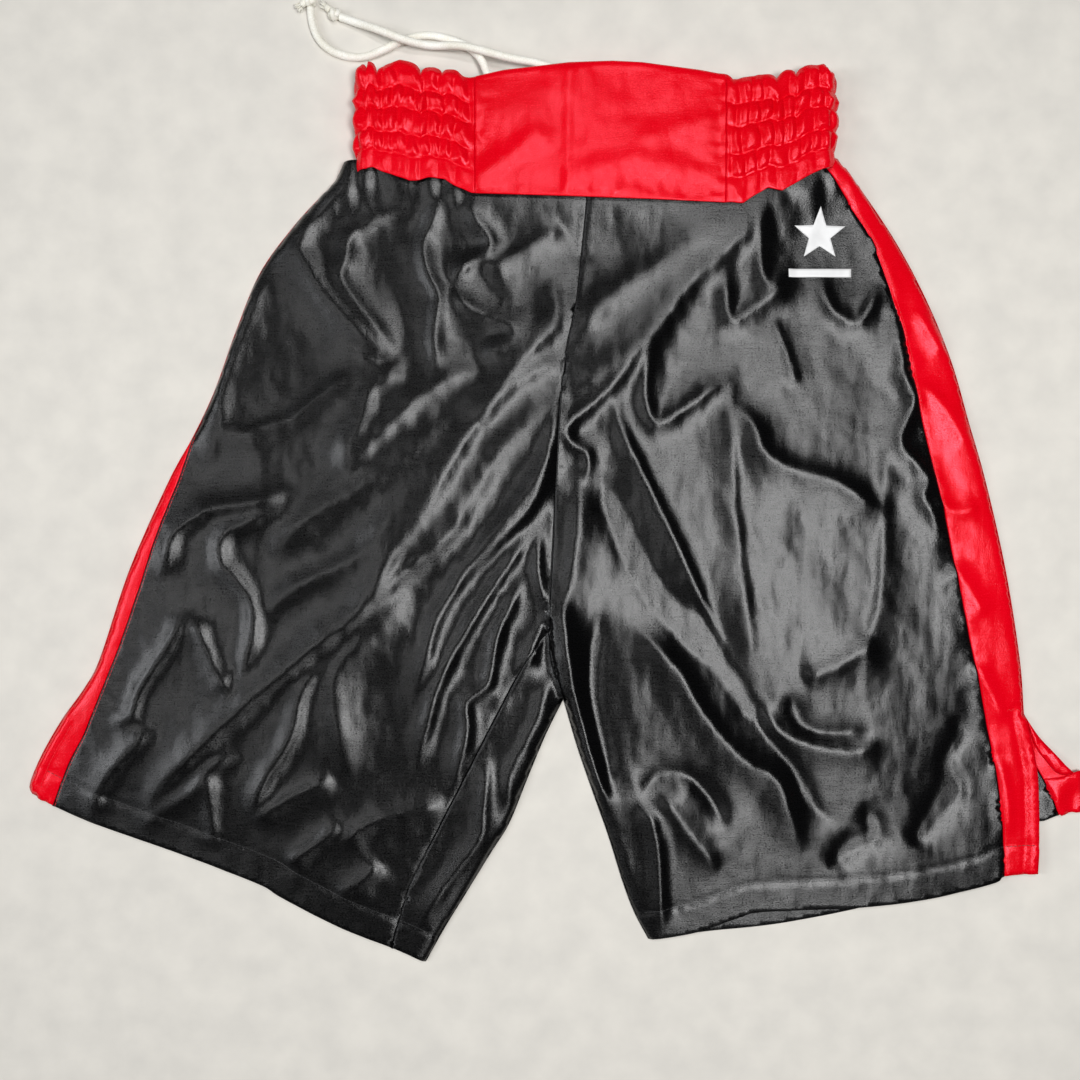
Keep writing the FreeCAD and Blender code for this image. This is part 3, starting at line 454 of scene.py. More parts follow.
def measure(x, y, line):
    """From each spot to a line: the distance, whether the spot is on its left, and how far along it is."""
    nearest = np.full(len(x), np.inf)
    left = np.zeros(len(x), bool)
    along = np.zeros(len(x))
    for k, (a, b) in enumerate(zip(line, line[1:])):
        way = b - a
        dx, dy = x - a[0], y - a[1]
        share = np.clip((dx * way[0] + dy * way[1]) / (way @ way), 0, 1)
        gap = np.hypot(dx - share * way[0], dy - share * way[1])
        closer = gap < nearest
        nearest = np.where(closer, gap, nearest)
        left = np.where(closer, way[0] * dy - way[1] * dx > 0, left)
        along = np.where(closer, (k + share) / (len(line) - 1), along)
    return nearest, left, along


def spots_near(x, y, line, reach):
    """The numbers of the spots in the box round a line, widened by reach."""
    (low_x, low_y), (high_x, high_y) = line.min(0) - reach, line.max(0) + reach
    return np.flatnonzero((x > low_x) & (x < high_x) & (y > low_y) & (y < high_y))


def gap_to(x, y, *lines):
    """From each spot, the distance to the nearest of some smooth lines."""
    return np.min([measure(x, y, smooth_line(line, LINE_STEP))[0] for line in lines], axis=0)


def x_at(line, y):
    """Where a line that falls towards the hem is at each y."""
    points = np.array(line, float)
    points = points[np.argsort(points[:, 1])]
    return np.interp(y, points[:, 1], points[:, 0])


# -------- the lie of the cloth


def fold_relief(x, y):
    """How far the listed folds lift the front."""
    relief = np.zeros(len(x))
    for height, left_reach, right_reach, *points in FOLDS:
        line = smooth_line(points, LINE_STEP)
        near = spots_near(x, y, line, 3.6 * max(left_reach, right_reach))
        gap, left, along = measure(x[near], y[near], line)
        reach = np.where(left, left_reach, right_reach)
        ends = smoothstep(np.minimum(along, 1 - along), -0.04, 0.2)
        crest = CREST_SHARE * reach
        fall = np.hypot(gap, crest) - crest
        relief[near] += height * ends * np.exp(-fall / (FOLD_SLOPE * reach))
    return relief


def waist_pleats(x, drop):
    """Soft pleats that run down from the gathered parts of the band. Drop is the distance below it."""
    relief = np.zeros(len(x))
    for low, high in GATHER_RANGES:
        inside = smoothstep(x, low - 4, low + 8) * (1 - smoothstep(x, high - 8, high + 4))
        wave = np.sin(2 * math.pi * (x / 21 + 0.9 * lumps(x, drop * 0.5, 26, 5)))
        relief += inside * wave * np.exp(-np.maximum(drop, 0) / 20)
    return 1.2 * relief


def seam_relief(x, y):
    """A groove along each seam of the front, and the small puckers beside it."""
    relief = np.zeros(len(x))
    for number, seam in enumerate(FRONT_SEAMS):
        gap = gap_to(x, y, seam)
        relief -= 0.35 * bell(gap, 0.8 * SEAM_WIDE)
        relief += 0.35 * bell(gap, 9) * lumps(x, y, 7, 20 + number)
    return relief


def hem_relief(x, y, gap, depth):
    """A turned-in hem: a thicker strip, drawn in at that depth by its stitching. Gap is from the edge."""
    strip = 0.5 * (1 - smoothstep(gap, depth - 1.5, depth + 1.5))
    drawn = 0.7 * bell(gap - depth, 1.6)
    ripple = 0.25 * lumps(x, y, 9, 31) * bell(gap - depth, 0.45 * depth)
    return strip - drawn + ripple


def front_height(x, y):
    """The front's height over the surface that the shorts lie on."""
    hem, waist = gap_to(x, y, RIGHT_HEM, LEFT_HEM), gap_to(x, y, WAIST_LINE)
    vent, turned = gap_to(x, y, LEFT_VENT, RIGHT_OUTER[12:]), gap_to(x, y, *TURNED_EDGES)
    relief = fold_relief(x, y)
    relief += 1.2 * lumps(x, y, 70, 1) + 0.5 * lumps(x + 0.25 * y, 0.45 * y, 21, 2)
    relief *= 0.45 + 0.55 * smoothstep(hem, 0, HEM_CALM)
    (middle_x, middle_y), (calm_x, calm_y) = EMBLEM_MIDDLE, EMBLEM_CALM
    relief *= 1 - 0.85 * np.exp(-((x - middle_x) / calm_x) ** 4 - ((y - middle_y) / calm_y) ** 4)
    relief = MOST_RELIEF * np.tanh(relief / MOST_RELIEF)
    z = FRONT_LEVEL + relief + 0.20 * lumps(x + 0.3 * y, 0.7 * y, 10, 3) + 0.10 * lumps(x, y, 5.5, 4)
    z += (seam_relief(x, y) + hem_relief(x, y, hem, HEM_DEPTH)
          + VENT_SHARE * hem_relief(x, y, vent, VENT_FACING))
    z += (WAIST_LEVEL - FRONT_LEVEL - 0.5 * relief) * (1 - smoothstep(waist, 2, WAIST_RISE))
    z += waist_pleats(x, waist)
    gap, left, _ = measure(x, y, smooth_line(LEG_OVERLAP, LINE_STEP))
    z += (OVERLAP_STEP * np.tanh(np.where(left, gap, -gap) / 0.9) - 0.2) * bell(gap, 14)
    top = FRONT_LEVEL + MOST_RELIEF
    z = np.minimum(z, top - 0.4 + 0.4 * np.tanh((z - top) / 0.8))
    roll = np.sqrt(1 - (1 - np.clip(turned / EDGE_ROLL, 0, 1)) ** 2)
    lowest = BACK_LEVEL + 2 * CLOTH_THICK + 0.2
    return EDGE_LEVEL + (np.maximum(z, lowest) - EDGE_LEVEL) * roll


def flap_lift(x, y):
    """How far the left vent's back flap, which spreads out past the front, lifts off the surface."""
    return smoothstep(x, 336, 362) * smoothstep(-y, 150, 178) * (2.6 + 2.2 * lumps(x, y, 15, 13))


def turned_in_height(x, y):
    """The top of what is turned in over the flap's inside: its hem and its facing."""
    return BACK_LEVEL + 2 * CLOTH_THICK + 0.35 + flap_lift(x, y) + 0.25 * lumps(x, y, 6, 14)


def back_height(x, y):
    """The height of the back's underside: it lies flat and lifts only where the left vent spreads."""
    z = BACK_LEVEL + 0.3 * lumps(x, y, 40, 11) + 0.15 * lumps(x, y, 14, 12)
    z -= 0.35 * bell(gap_to(x, y, BACK_RIGHT_HEM, BACK_LEFT_HEM) - HEM_DEPTH, 1.8)
    z += flap_lift(x, y)
    roll = smoothstep(gap_to(x, y, *TURNED_EDGES), 0, 4)
    return np.maximum(EDGE_LEVEL + (z - EDGE_LEVEL) * roll, 0.15)


# -------- meshes


def new_object(name, data):
    piece = bpy.data.objects.new(name, data)
    bpy.context.scene.collection.objects.link(piece)
    return piece


def new_mesh(name, vertices, faces, cloth=None):
    """An object from vertices in millimetres. Cloth gives each vertex its place in the flat cloth."""
    mesh = bpy.data.meshes.new(name)
    mesh.from_pydata(np.asarray(vertices, float) * MM, [], [tuple(f) for f in faces])
    if cloth is not None:
        corners = np.zeros(len(mesh.loops), int)
        mesh.loops.foreach_get("vertex_index", corners)
        layer = mesh.uv_layers.new(name="cloth")
        layer.data.foreach_set("uv", (np.asarray(cloth, float)[corners] * MM).ravel())
    mesh.shade_smooth()
    return new_object(name, mesh)


def apply_modifiers(piece):
    graph = bpy.context.evaluated_depsgraph_get()
    mesh = bpy.data.meshes.new_from_object(piece.evaluated_get(graph), preserve_all_data_layers=True,
                                           depsgraph=graph)
    piece.modifiers.clear()
    piece.data = mesh
    return piece


def thicken(piece, thick, offset):
    solid = piece.modifiers.new("thick", "SOLIDIFY")
    solid.thickness = thick * MM
    solid.offset = offset
    return apply_modifiers(piece)


def grid_faces(rows, columns, loop=False):
    """Quads of a grid of vertices that are listed row by row."""
    faces = []
    for r in range(rows - 1):
        for c in range(columns if loop else columns - 1):
            d = (c + 1) % columns
            faces.append((r * columns + c, r * columns + d, (r + 1) * columns + d, (r + 1) * columns + c))
    return faces


def inside(x, y, outline):
    """Whether each spot is inside a closed outline."""
    hit = np.zeros(len(x), bool)
    for (ax, ay), (bx, by) in zip(outline, np.roll(outline, -1, axis=0)):
        if ay != by:
            hit ^= ((ay > y) != (by > y)) & (x < (bx - ax) * (y - ay) / (by - ay) + ax)
    return hit


def cut_out(spots, links, outline, merge):
    """Triangles inside a closed outline, over spots of which the linked ones are joined by edges."""
    flat, _, faces, _, _, _ = delaunay_2d_cdt([Vector(p) for p in spots], links, [], 0, merge)
    flat, faces = np.array([tuple(p) for p in flat]), np.array(faces)
    return flat, faces[inside(*flat[faces].mean(axis=1).T, outline)]


class Layer:
    """A layer of cloth, cut flat from its edges in order, with its seams as edges of its triangles."""

    def __init__(self, edges, seams, height, face_down=False):
        outline = np.vstack([smooth_line(edge, CLOTH_STEP)[:-1] for edge in edges])
        lines = [np.vstack([outline, outline[:1]])] + [smooth_line(seam, CLOTH_STEP) for seam in seams]
        guides = [beside(seam, side * SEAM_WIDE, CLOTH_STEP)[2:-2] for seam in seams for side in (-1, 1)]
        spots, links = [], []
        for line in lines:
            links += [(len(spots) + k, len(spots) + k + 1) for k in range(len(line) - 1)]
            spots += list(line)
        for guide in guides:
            spots += list(guide[inside(*guide.T, outline)])
        spots += list(self.filling(outline, lines + guides))
        self.flat, self.faces = cut_out(spots, links, outline, 0.3)
        self.middle = self.flat[self.faces].mean(axis=1)
        self.spots = np.column_stack([self.flat, height(*self.flat.T)])
        if face_down:
            self.faces = self.faces[:, ::-1]
        self.part = np.zeros(len(self.faces), int)
        self.tree = BVHTree.FromPolygons(self.spots.tolist(), self.faces.tolist())

    @staticmethod
    def filling(outline, lines):
        """A triangular grid of points that fills the outline and leaves room for the lines' own points."""
        (low_x, low_y), (high_x, high_y) = outline.min(0), outline.max(0)
        x, row = np.meshgrid(np.arange(low_x, high_x, CLOTH_STEP),
                             np.arange(0, (high_y - low_y) / CLOTH_STEP * 2 / math.sqrt(3)))
        grid = np.column_stack([(x + (row % 2) * CLOTH_STEP / 2).ravel(),
                                (low_y + row * CLOTH_STEP * math.sqrt(3) / 2).ravel()])
        keep = inside(*grid.T, outline)
        for line in lines:
            close = spots_near(*grid.T, line, CLOTH_STEP)
            keep[close] &= measure(*grid[close].T, line)[0] > 0.55 * CLOTH_STEP
        return grid[keep]


def sewn(name, *picks):
    """One piece of cloth from the faces that carry a number, welded where they turn to the other layer."""
    spots, faces, cloth = [], [], []
    for layer, number in picks:
        used, renumbered = np.unique(layer.faces[layer.part == number], return_inverse=True)
        faces += (renumbered.reshape(-1, 3) + sum(len(s) for s in spots)).tolist()
        spots.append(layer.spots[used])
        cloth.append(layer.flat[used])
    piece = new_mesh(name, np.vstack(spots), faces, np.vstack(cloth))
    if len(picks) > 1:
        weld = piece.modifiers.new("weld", "WELD")
        weld.merge_threshold = 0.05 * MM
        apply_modifiers(piece)
    return piece


def dress(piece, slot, *nodes, body=None, bend=None):
    """Gives a finished piece its slot's material and hides the nodes that it replaces. A piece given a bend
    only has its transform applied; any other is attached to the empty of the body that it moves with.
    """
    piece.data.materials.clear()
    piece.data.materials.append(MATERIALS[slot])
    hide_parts(*nodes)
    if bend:
        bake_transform(piece)
    else:
        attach(piece, body)
    return piece


# -------- the camera and the drawcord


def make_camera():
    """Straight above the garment, at the height of a phone held over it."""
    data = bpy.data.cameras.new("camera")
    data.sensor_width = data.sensor_height = 36.0
    data.angle = math.radians(CAMERA_VIEW)
    camera = new_object("camera", data)
    camera.location = CAMERA_PLACE
    bpy.context.scene.camera = camera


def frame_along(way):
    """Three directions at right angles, as rows, the last along way."""
    along = np.array(way, float) / np.linalg.norm(way)
    side = np.cross(along, (0, 0, 1) if abs(along[2]) < 0.9 else (1, 0, 0))
    side /= np.linalg.norm(side)
    return np.array([side, np.cross(along, side), along])


def tube(path, radii, sides, closed=False):
    """Vertices, faces and surface places of a tube along a path."""
    path = np.array(path, float)
    ahead = np.roll(path, -1, axis=0) if closed else np.vstack([path[1:], 2 * path[-1] - path[-2]])
    behind = np.roll(path, 1, axis=0) if closed else np.vstack([2 * path[0] - path[1], path[:-1]])
    side = frame_along(ahead[0] - behind[0])[0]
    run = np.concatenate([[0], np.cumsum(np.linalg.norm(np.diff(path, axis=0), axis=1))])
    turns = np.linspace(0, 2 * math.pi, sides, endpoint=False)
    spots, places = [], []
    for k, (point, way) in enumerate(zip(path, ahead - behind)):
        way = way / np.linalg.norm(way)
        side = side - (side @ way) * way
        side /= np.linalg.norm(side)
        other = np.cross(way, side)
        spots += [point + radii[k] * (math.cos(t) * side + math.sin(t) * other) for t in turns]
        places += [(run[k], radii[k] * t) for t in turns]
    rows = len(path)
    faces = grid_faces(rows, sides, loop=True)
    if closed:
        faces += [((rows - 1) * sides + c, (rows - 1) * sides + (c + 1) % sides, (c + 1) % sides, c)
                  for c in range(sides)]
    else:
        faces += [tuple(range(sides))[::-1], tuple(range((rows - 1) * sides, rows * sides))]
    return spots, faces, places


def gathered_mesh(name, parts):
    """One object from several vertices, faces and places."""
    spots, faces, places = [], [], []
    for own_spots, own_faces, own_places in parts:
        faces += [tuple(v + len(spots) for v in face) for face in own_faces]
        spots += list(own_spots)
        places += list(own_places)
    return new_mesh(name, spots, faces, places)


def tail_knot(name, middle, way):
    """A tight overhand knot: the cord goes three times round its own run."""
    t = np.linspace(0, 2 * math.pi, 96, endpoint=False)
    ring = KNOT_REACH * (2 + np.cos(3 * t)) / 3
    local = np.column_stack([ring * np.cos(2 * t), ring * np.sin(2 * t), KNOT_DEPTH * np.sin(3 * t)])
    path = np.array(middle) + local @ frame_along(way)
    spots, faces, places = tube(path, [KNOT_CORD / 2] * len(path), 12, closed=True)
    spots = [(x, y, max(z, 0.1)) for x, y, z in spots]
    return new_mesh(name, spots, faces, places)


def tail_tip(name, start, way, seed):
    """The cord's cut end past its knot: a short stub that frays into strands."""
    rng = np.random.default_rng(seed)
    start, axes = np.array(start, float), frame_along(way)
    stub = [start + axes[2] * d for d in (0, 1.5, 3.0, 4.2)]
    parts = [tube(stub, [2.3, 2.5, 2.4, 2.1], 14)]
    for _ in range(34):
        turn, reach = rng.uniform(0, 2 * math.pi), 1.9 * math.sqrt(rng.uniform(0, 1))
        outward = math.cos(turn) * axes[0] + math.sin(turn) * axes[1]
        root = start + axes[2] * 3.6 + reach * outward
        spread = reach * 0.28 * outward
        bend = rng.normal(0, 0.35, 3)
        strand = [root + axes[2] * rng.uniform(0.9, 1.1) * d * 1.5 + spread * d + bend * (d / 3) ** 2
                  for d in range(4)]
        strand = [(x, y, max(z, 0.3)) for x, y, z in strand]
        parts.append(tube(strand, [0.26, 0.26, 0.24, 0.15], 5))
    return gathered_mesh(name, parts)


def cord_tail(name, route, node):
    """One tail of the drawcord, a smooth curve along its route."""
    curve = bpy.data.curves.new(name, "CURVE")
    curve.dimensions = "3D"
    spline = curve.splines.new("NURBS")
    spline.points.add(len(route) - 1)
    for point, (x, y, z) in zip(spline.points, route):
        point.co = (x * MM, y * MM, z * MM, 1)
    spline.order_u = 3
    spline.use_endpoint_u = True
    curve.bevel_depth = CORD_DIAMETER * MM / 2
    curve.bevel_resolution = 6
    curve.use_fill_caps = True
    piece = new_object(name, curve)
    dress(piece, "ivory_cord", node, body="drawcord")


def make_drawcord():
    for seed, (side, route) in enumerate((("left", LEFT_TAIL), ("right", RIGHT_TAIL)), 1):
        middle, way, start, out = TAIL_ENDS[side]
        knot = tail_knot(side + "_knot", middle, way)
        dress(knot, "ivory_cord", side + "_tail_knot", body="drawcord")
        tip = tail_tip(side + "_tip", start, out, seed)
        dress(tip, "ivory_cord", side + "_tail_tip", body="drawcord")
        cord_tail("drawcord_" + side, route, "drawcord_" + side + "_tail")


# -------- panels and stripes


def make_front():
    edges = [RIGHT_OUTER, RIGHT_HEM, RIGHT_INNER, LEFT_INNER, LEFT_HEM, LEFT_VENT, LEFT_OUTER, WAIST_LINE]
    front = Layer(edges, FRONT_SEAMS + [LEG_OVERLAP], front_height)
    x, y = front.middle.T
    left = x > x_at(DIVIDE, y)
    front.part[:] = np.where(left, FRONT_LEFT, FRONT_RIGHT)
    front.part[~left & (y < 56) & (x < x_at(RIGHT_STRIPE_SEAM, y))] = STRIPE_RIGHT
    front.part[~left & (y < -80) & (x > x_at(RIGHT_INSEAM, y))] = BACK_RIGHT
    front.part[left & (x > x_at(LEFT_STRIPE_SEAM, y))] = STRIPE_LEFT
    return front


def make_back():
    edges = [RIGHT_OUTER, BACK_RIGHT_HEM, RIGHT_INNER, LEFT_INNER, BACK_LEFT_HEM, BACK_LEFT_VENT, LEFT_OUTER,
             WAIST_LINE]
    seams = [RIGHT_BACK_SEAM, LEFT_BACK_SEAM, CENTRE_BACK, RIGHT_TUCK]
    back = Layer(edges, seams, back_height, face_down=True)
    x, y = back.middle.T
    left = x > x_at(CENTRE_BACK + [(4, -200), (-10, -320)], y)
    back.part[:] = np.where(left, BACK_LEFT, BACK_RIGHT)
    back.part[~left & (x < x_at(RIGHT_BACK_SEAM, y))] = STRIPE_BACK_RIGHT
    back.part[(y > 46) & (x < x_at(RIGHT_TUCK, y))] = STRIPE_RIGHT
    back.part[left & (x > x_at(LEFT_BACK_SEAM, y))] = STRIPE_BACK_LEFT
    return back


def make_cloth(front, back):
    turned = [(Layer([FLAP_HEM + FLAP_HEM[:1]], [], turned_in_height), 0),
              (Layer([FLAP_FACING + FLAP_FACING[:1]], [], turned_in_height), 0)]
    pieces = (
        ("back_right_panel", "black_satin", "right_leg", (0.36, 0.56, 0.125), "floor",
         [(back, BACK_RIGHT), (front, BACK_RIGHT)]),
        ("back_left_panel", "black_satin", "left_leg", (0.33, 0.54, 0.130), "floor", [(back, BACK_LEFT)]),
        ("right_stripe_back", "red_satin", "right_leg", (0.06, 0.50, 0.0185), "floor",
         [(back, STRIPE_BACK_RIGHT)]),
        ("left_stripe_back", "red_satin", "left_leg", (0.06, 0.50, 0.019), "floor",
         [(back, STRIPE_BACK_LEFT)] + turned),
        ("front_right_panel", "black_satin", "right_leg", (0.36, 0.56, 0.130), "back_right_panel",
         [(front, FRONT_RIGHT)]),
        ("front_left_panel", "black_satin", "left_leg", (0.33, 0.54, 0.132), "back_left_panel",
         [(front, FRONT_LEFT)]),
        ("right_stripe_front", "red_satin", "right_leg", (0.03, 0.50, 0.0066), "right_stripe_back",
         [(front, STRIPE_RIGHT), (back, STRIPE_RIGHT)]),
        ("left_stripe_front", "red_satin", "left_leg", (0.05, 0.52, 0.0155), "left_stripe_back",
         [(front, STRIPE_LEFT)]),
    )
    for name, slot, leg, (width, length, area), under, picks in pieces:
        piece = thicken(sewn(name, *picks), CLOTH_THICK, -1)
        dress(piece, slot, name + "_upper", name + "_lower", bend=(LEG_BEND, leg))


# -------- waistband


def band_section(count):
    """The band's loop in X and Z, from the front's right end round by the left side, and its outward ways."""
    radius = (BAND_HIGH - BAND_LOW) / 2
    straight = BAND_RIGHT - BAND_LEFT - 2 * radius
    half = straight + math.pi * radius
    s = np.linspace(0, 2 * half, count, endpoint=False)
    under = s >= half
    way = np.where(under, -1, 1)
    from_end = s - np.where(under, half, 0)
    along = np.minimum(from_end, straight)
    turn = (from_end - along) / radius
    nx, nz = way * np.sin(turn), way * np.cos(turn)
    x = np.where(under, BAND_RIGHT - radius, BAND_LEFT + radius) + way * along + radius * nx
    return s, x, radius + radius * nz + BAND_LOW, nx, nz


def edges_at(x):
    """Where the front's bottom and top edges are in Y."""
    return [np.interp(x, *np.array(edge).T) for edge in (BAND_BOTTOM_EDGE, BAND_TOP_EDGE)]


def band_edges(s, x, nz):
    """Where the band's bottom and top edges are in Y, round its loop."""
    front = smoothstep(nz, -0.4, 0.4)
    bottom, top = edges_at(x)
    loose = 1 - smoothstep(x, -66, -52) * (1 - smoothstep(x, 112, 126)) * front
    scallop = np.abs(np.sin(math.pi * s / 19 + 2.4 * lumps(s, 0 * s, 27, 41))) ** 0.5
    scallop += 0.16 * lumps(s, 0 * s, 5, 43)
    top = top * front + BACK_TOP * (1 - front) + loose * (7.0 * scallop - 5.0)
    top = np.maximum(top, ELASTIC_TOP + 1.6)
    bottom = bottom * front + BACK_BOTTOM * (1 - front) + loose * 0.8 * lumps(s, 0 * s, 8, 42)
    return bottom, top, loose, front


def puff_height(s, share, y, loose, front, nx):
    """How far the gathered cover stands off the elastic: puffs between the rows of shirring."""
    rows = np.array((0.0,) + SHIRRING_SHARES + (1.0,))
    wavy = share + 0.012 * lumps(s, 0 * s, 9, 54)
    tier = np.clip(np.searchsorted(rows, wavy, side="right") - 1, 0, len(rows) - 2)
    within = np.clip((wavy - rows[tier]) / (rows[tier + 1] - rows[tier]), 0, 1)
    dome = 0.18 + 0.82 * np.sin(math.pi * within) ** 0.65
    sway = 1.5 * lumps(s, 29.0 * tier, 17, 50) + 0.35 * lumps(s, y, 12, 53)
    folds = np.abs(np.sin(math.pi * s / np.array(PLEAT_PITCHES)[tier] + sway)) ** 0.75
    small = 1 - 2.0 * np.abs(lumps(s + 5 * sway, y * 0.5, 4.2, 52))
    puffs = dome * np.array(PLEAT_SHARES)[tier] * (0.10 + 0.66 * folds + 0.24 * small)
    room = PUFF_FRONT * front + PUFF_BACK * (1 - front) + PUFF_SIDE * np.abs(nx)
    near_rows = np.min([np.abs(wavy - r) for r in SHIRRING_SHARES], axis=0)
    drawn = 0.45 * bell(near_rows, 0.014)
    return loose * (np.maximum(puffs * room, 0) - drawn)


def panel_swell(x, y):
    """The flat front panel: a pressed crease down its middle, soft pulls, and a bowed surface."""
    crease = 0.45 * bell(x - 9 - 0.02 * (y - 265), 3.6)
    pulls = sum(height * bell(measure(x, y, np.array(line, float))[0], reach)
                for height, reach, line in PANEL_PULLS)
    ends = bell(x - PANEL_LEFT, 13) + bell(x - PANEL_RIGHT, 13)
    puckers = 0.7 * ends * lumps(x * 0.5, y, 5, 63)
    puckers += 0.4 * bell(y - 221, 6) * lumps(x, y * 0.5, 5, 64)
    return crease + pulls + puckers + 0.8 * lumps(x, y, 26, 61) + 0.16 * lumps(x, y, 8, 62)


def band_surface():
    """The cover's and the panel's vertices, row by row from the bottom edge up, over the top and inwards."""
    s, x, z, nx, nz = band_section(BAND_COLUMNS)
    bottom, top, loose, front = band_edges(s, x, nz)
    shares = np.concatenate([np.linspace(0, 0.1, 9)[:-1], np.linspace(0.1, 0.955, BAND_ROWS)])
    rows = []
    for share in shares:
        y = bottom + share * (top - bottom)
        lift = puff_height(s, share + 0 * s, y, loose, front, nx)
        lift += (1 - loose) * panel_swell(x, y) * smoothstep(share, 0, 0.06)
        lift *= 1 - smoothstep(share, 0.93, 1.0) * 0.6
        rows.append(np.column_stack([x + nx * lift, y, np.maximum(z + nz * lift, 0.12)]))
    for inward, up in ((0.35, 0.982), (0.95, 0.995), (1.7, 1.0)):
        y = bottom + up * (top - bottom)
        rows.append(np.column_stack([x - nx * inward, y, z - nz * inward]))
    return np.array(rows), s, x, nz


def make_band():
    grid, s, x, nz = band_surface()
    count = len(s)
    panel = [k for k in range(count) if nz[k] == 1 and PANEL_LEFT <= x[k] <= PANEL_RIGHT]
    cover = [k % count for k in range(panel[-1], panel[0] + count + 1)]
    trees = []
    for name, node, columns, flat in (
            ("band_front_panel", "waistband_front_panel", panel, (0.095, 0.178)),
            ("band_gathered_cover", "waistband_gathered_cover", cover, (0.09, 0.66))):
        own = grid[:, columns]
        faces = [f[::-1] for f in grid_faces(own.shape[0], own.shape[1])]
        spots = own.reshape(-1, 3)
        places = np.array([(s[columns[0]] + BAND_PITCH * k, y)
                           for row in own for k, (_, y, _) in enumerate(row)])
        trees.append(BVHTree.FromPolygons(spots.tolist(), faces))
        piece = thicken(new_mesh(name, spots, faces, places), CLOTH_THICK, -1)
        dress(piece, "red_satin", node, bend=(BAND_BEND, "waistband"))
    make_lining(grid[-1], s)
    return trees


def make_lining(rim, s):
    """The band's inner layer, from the rim down inside, a little gathered."""
    _, x, z, nx, nz = band_section(BAND_COLUMNS)
    rows = [rim]
    for depth, y in LINING_PROFILE:
        ripple = 0.25 * lumps(s, y + 0 * s, 5, 71) if y < 300 else 0
        edge = rim[:, 1] + y - BACK_TOP if y > 290 else y + 0 * s
        inward = depth + ripple
        rows.append(np.column_stack([x - nx * inward, edge, z - nz * inward]))
    grid = np.array(rows)
    faces = [f[::-1] for f in grid_faces(len(rows), len(s), loop=True)]
    places = np.array([(BAND_PITCH * k, y) for row in grid for k, (_, y, _) in enumerate(row)])
    piece = thicken(new_mesh("band_lining", grid.reshape(-1, 3), faces, places), LINING_THICK, -1)
    dress(piece, "red_satin", "waistband_lining", bend=(BAND_BEND, "waistband"))


# -------- stitching and emblem


def drop(trees, x, y, below=False):
    """The height of the cloth at a spot, seen from above or from below."""
    start, way = ((x, y, -50), (0, 0, 1)) if below else ((x, y, 80), (0, 0, -1))
    hits = [tree.ray_cast(Vector(start), Vector(way))[0] for tree in trees]
    hits = [hit.z for hit in hits if hit is not None]
    return (min(hits) if below else max(hits)) if hits else None


def stitches(name, lines, trees, thread=THREAD, below=False):
    """Separate stitches along lines, each a short thread that dips into the cloth at both ends."""
    parts = []
    for line in lines:
        line = smooth_line(line, STITCH_PITCH)
        for a, b in zip(line, line[1:]):
            path = []
            for share, lift in ((0.06, -0.18), (0.22, 0.10), (0.5, 0.16), (0.78, 0.10), (0.94, -0.18)):
                x, y = a + (b - a) * share
                level = drop(trees, x, y, below)
                if level is not None:
                    path.append((x, y, max(level - lift, 0.2) if below else level + lift))
            if len(path) == 5:
                parts.append(tube(path, [thread * r for r in (0.3, 0.5, 0.5, 0.5, 0.3)], 6))
    return gathered_mesh(name, parts)


def zigzag(middle, long, wide, count):
    x, y = middle
    return [(x + long * (k / count - 0.5), y + wide * (0.5 if k % 2 else -0.5)) for k in range(count + 1)]


def make_stitching(front, back):
    right_vent = beside(RIGHT_OUTER[12:], VENT_FACING)
    above = (
        ("centre_front_stitches", CENTRE_SEAM[:-1] + [(-4, -60)], "black_thread", "hips",
         "centre_front_seam"),
        ("right_stripe_stitches", beside(RIGHT_STRIPE_SEAM, STRIPE_GAP), "red_thread", "right_leg",
         "right_stripe_seam_upper", "right_stripe_seam_lower"),
        ("left_stripe_stitches", beside(LEFT_STRIPE_SEAM, STRIPE_GAP), "red_thread", "left_leg",
         "left_stripe_seam_upper", "left_stripe_seam_lower"),
        ("right_inseam_stitches", beside(RIGHT_INSEAM, INSEAM_GAP), "black_thread", "right_leg",
         "right_inseam_upper", "right_inseam_lower"),
        ("right_hem_stitches", beside(RIGHT_HEM, HEM_DEPTH), "black_thread", "right_leg",
         "right_hem_stitching"),
        ("left_hem_stitches", beside(LEFT_HEM, HEM_DEPTH), "black_thread", "left_leg", "left_hem_stitching"),
        ("left_vent_stitches", beside(LEFT_VENT, VENT_FACING)[3:-3], "red_thread", "left_leg",
         "left_vent_stitching"),
        ("right_vent_stitches", right_vent, "red_thread", "right_leg", "right_vent_stitching"),
        ("left_vent_tack", zigzag((322, -137), 9, 2, 14), "red_thread", "left_leg", "left_vent_bartack"),
        ("right_vent_tack", zigzag((-328, -137), 9, 2, 14), "red_thread", "right_leg", "right_vent_bartack"),
        ("crotch_tack", zigzag((-5, -60), 7, 1.6, 12), "black_thread", "hips", "crotch_bartack"),
    )
    below = (
        ("centre_back_stitches", CENTRE_BACK[:3], "black_thread", "hips", "centre_back_seam"),
        ("left_inseam_stitches", beside(LEFT_INNER, LEFT_INSEAM_GAP), "black_thread", "left_leg",
         "left_inseam"),
        ("left_side_stitches", beside(LEFT_OUTER, SIDE_GAP), "red_thread", "left_leg", "left_side_seam"),
        ("right_side_stitches", beside(RIGHT_OUTER[7:12], SIDE_GAP), "red_thread", "right_leg",
         "right_side_seam"),
    )
    for layer, underside, rows in ((front, False, above), (back, True, below)):
        for name, line, slot, body, *nodes in rows:
            piece = stitches(name, [line], [layer.tree], below=underside)
            dress(piece, slot, *nodes, body=body, bend=None if body == "hips" else (LEG_BEND, body))


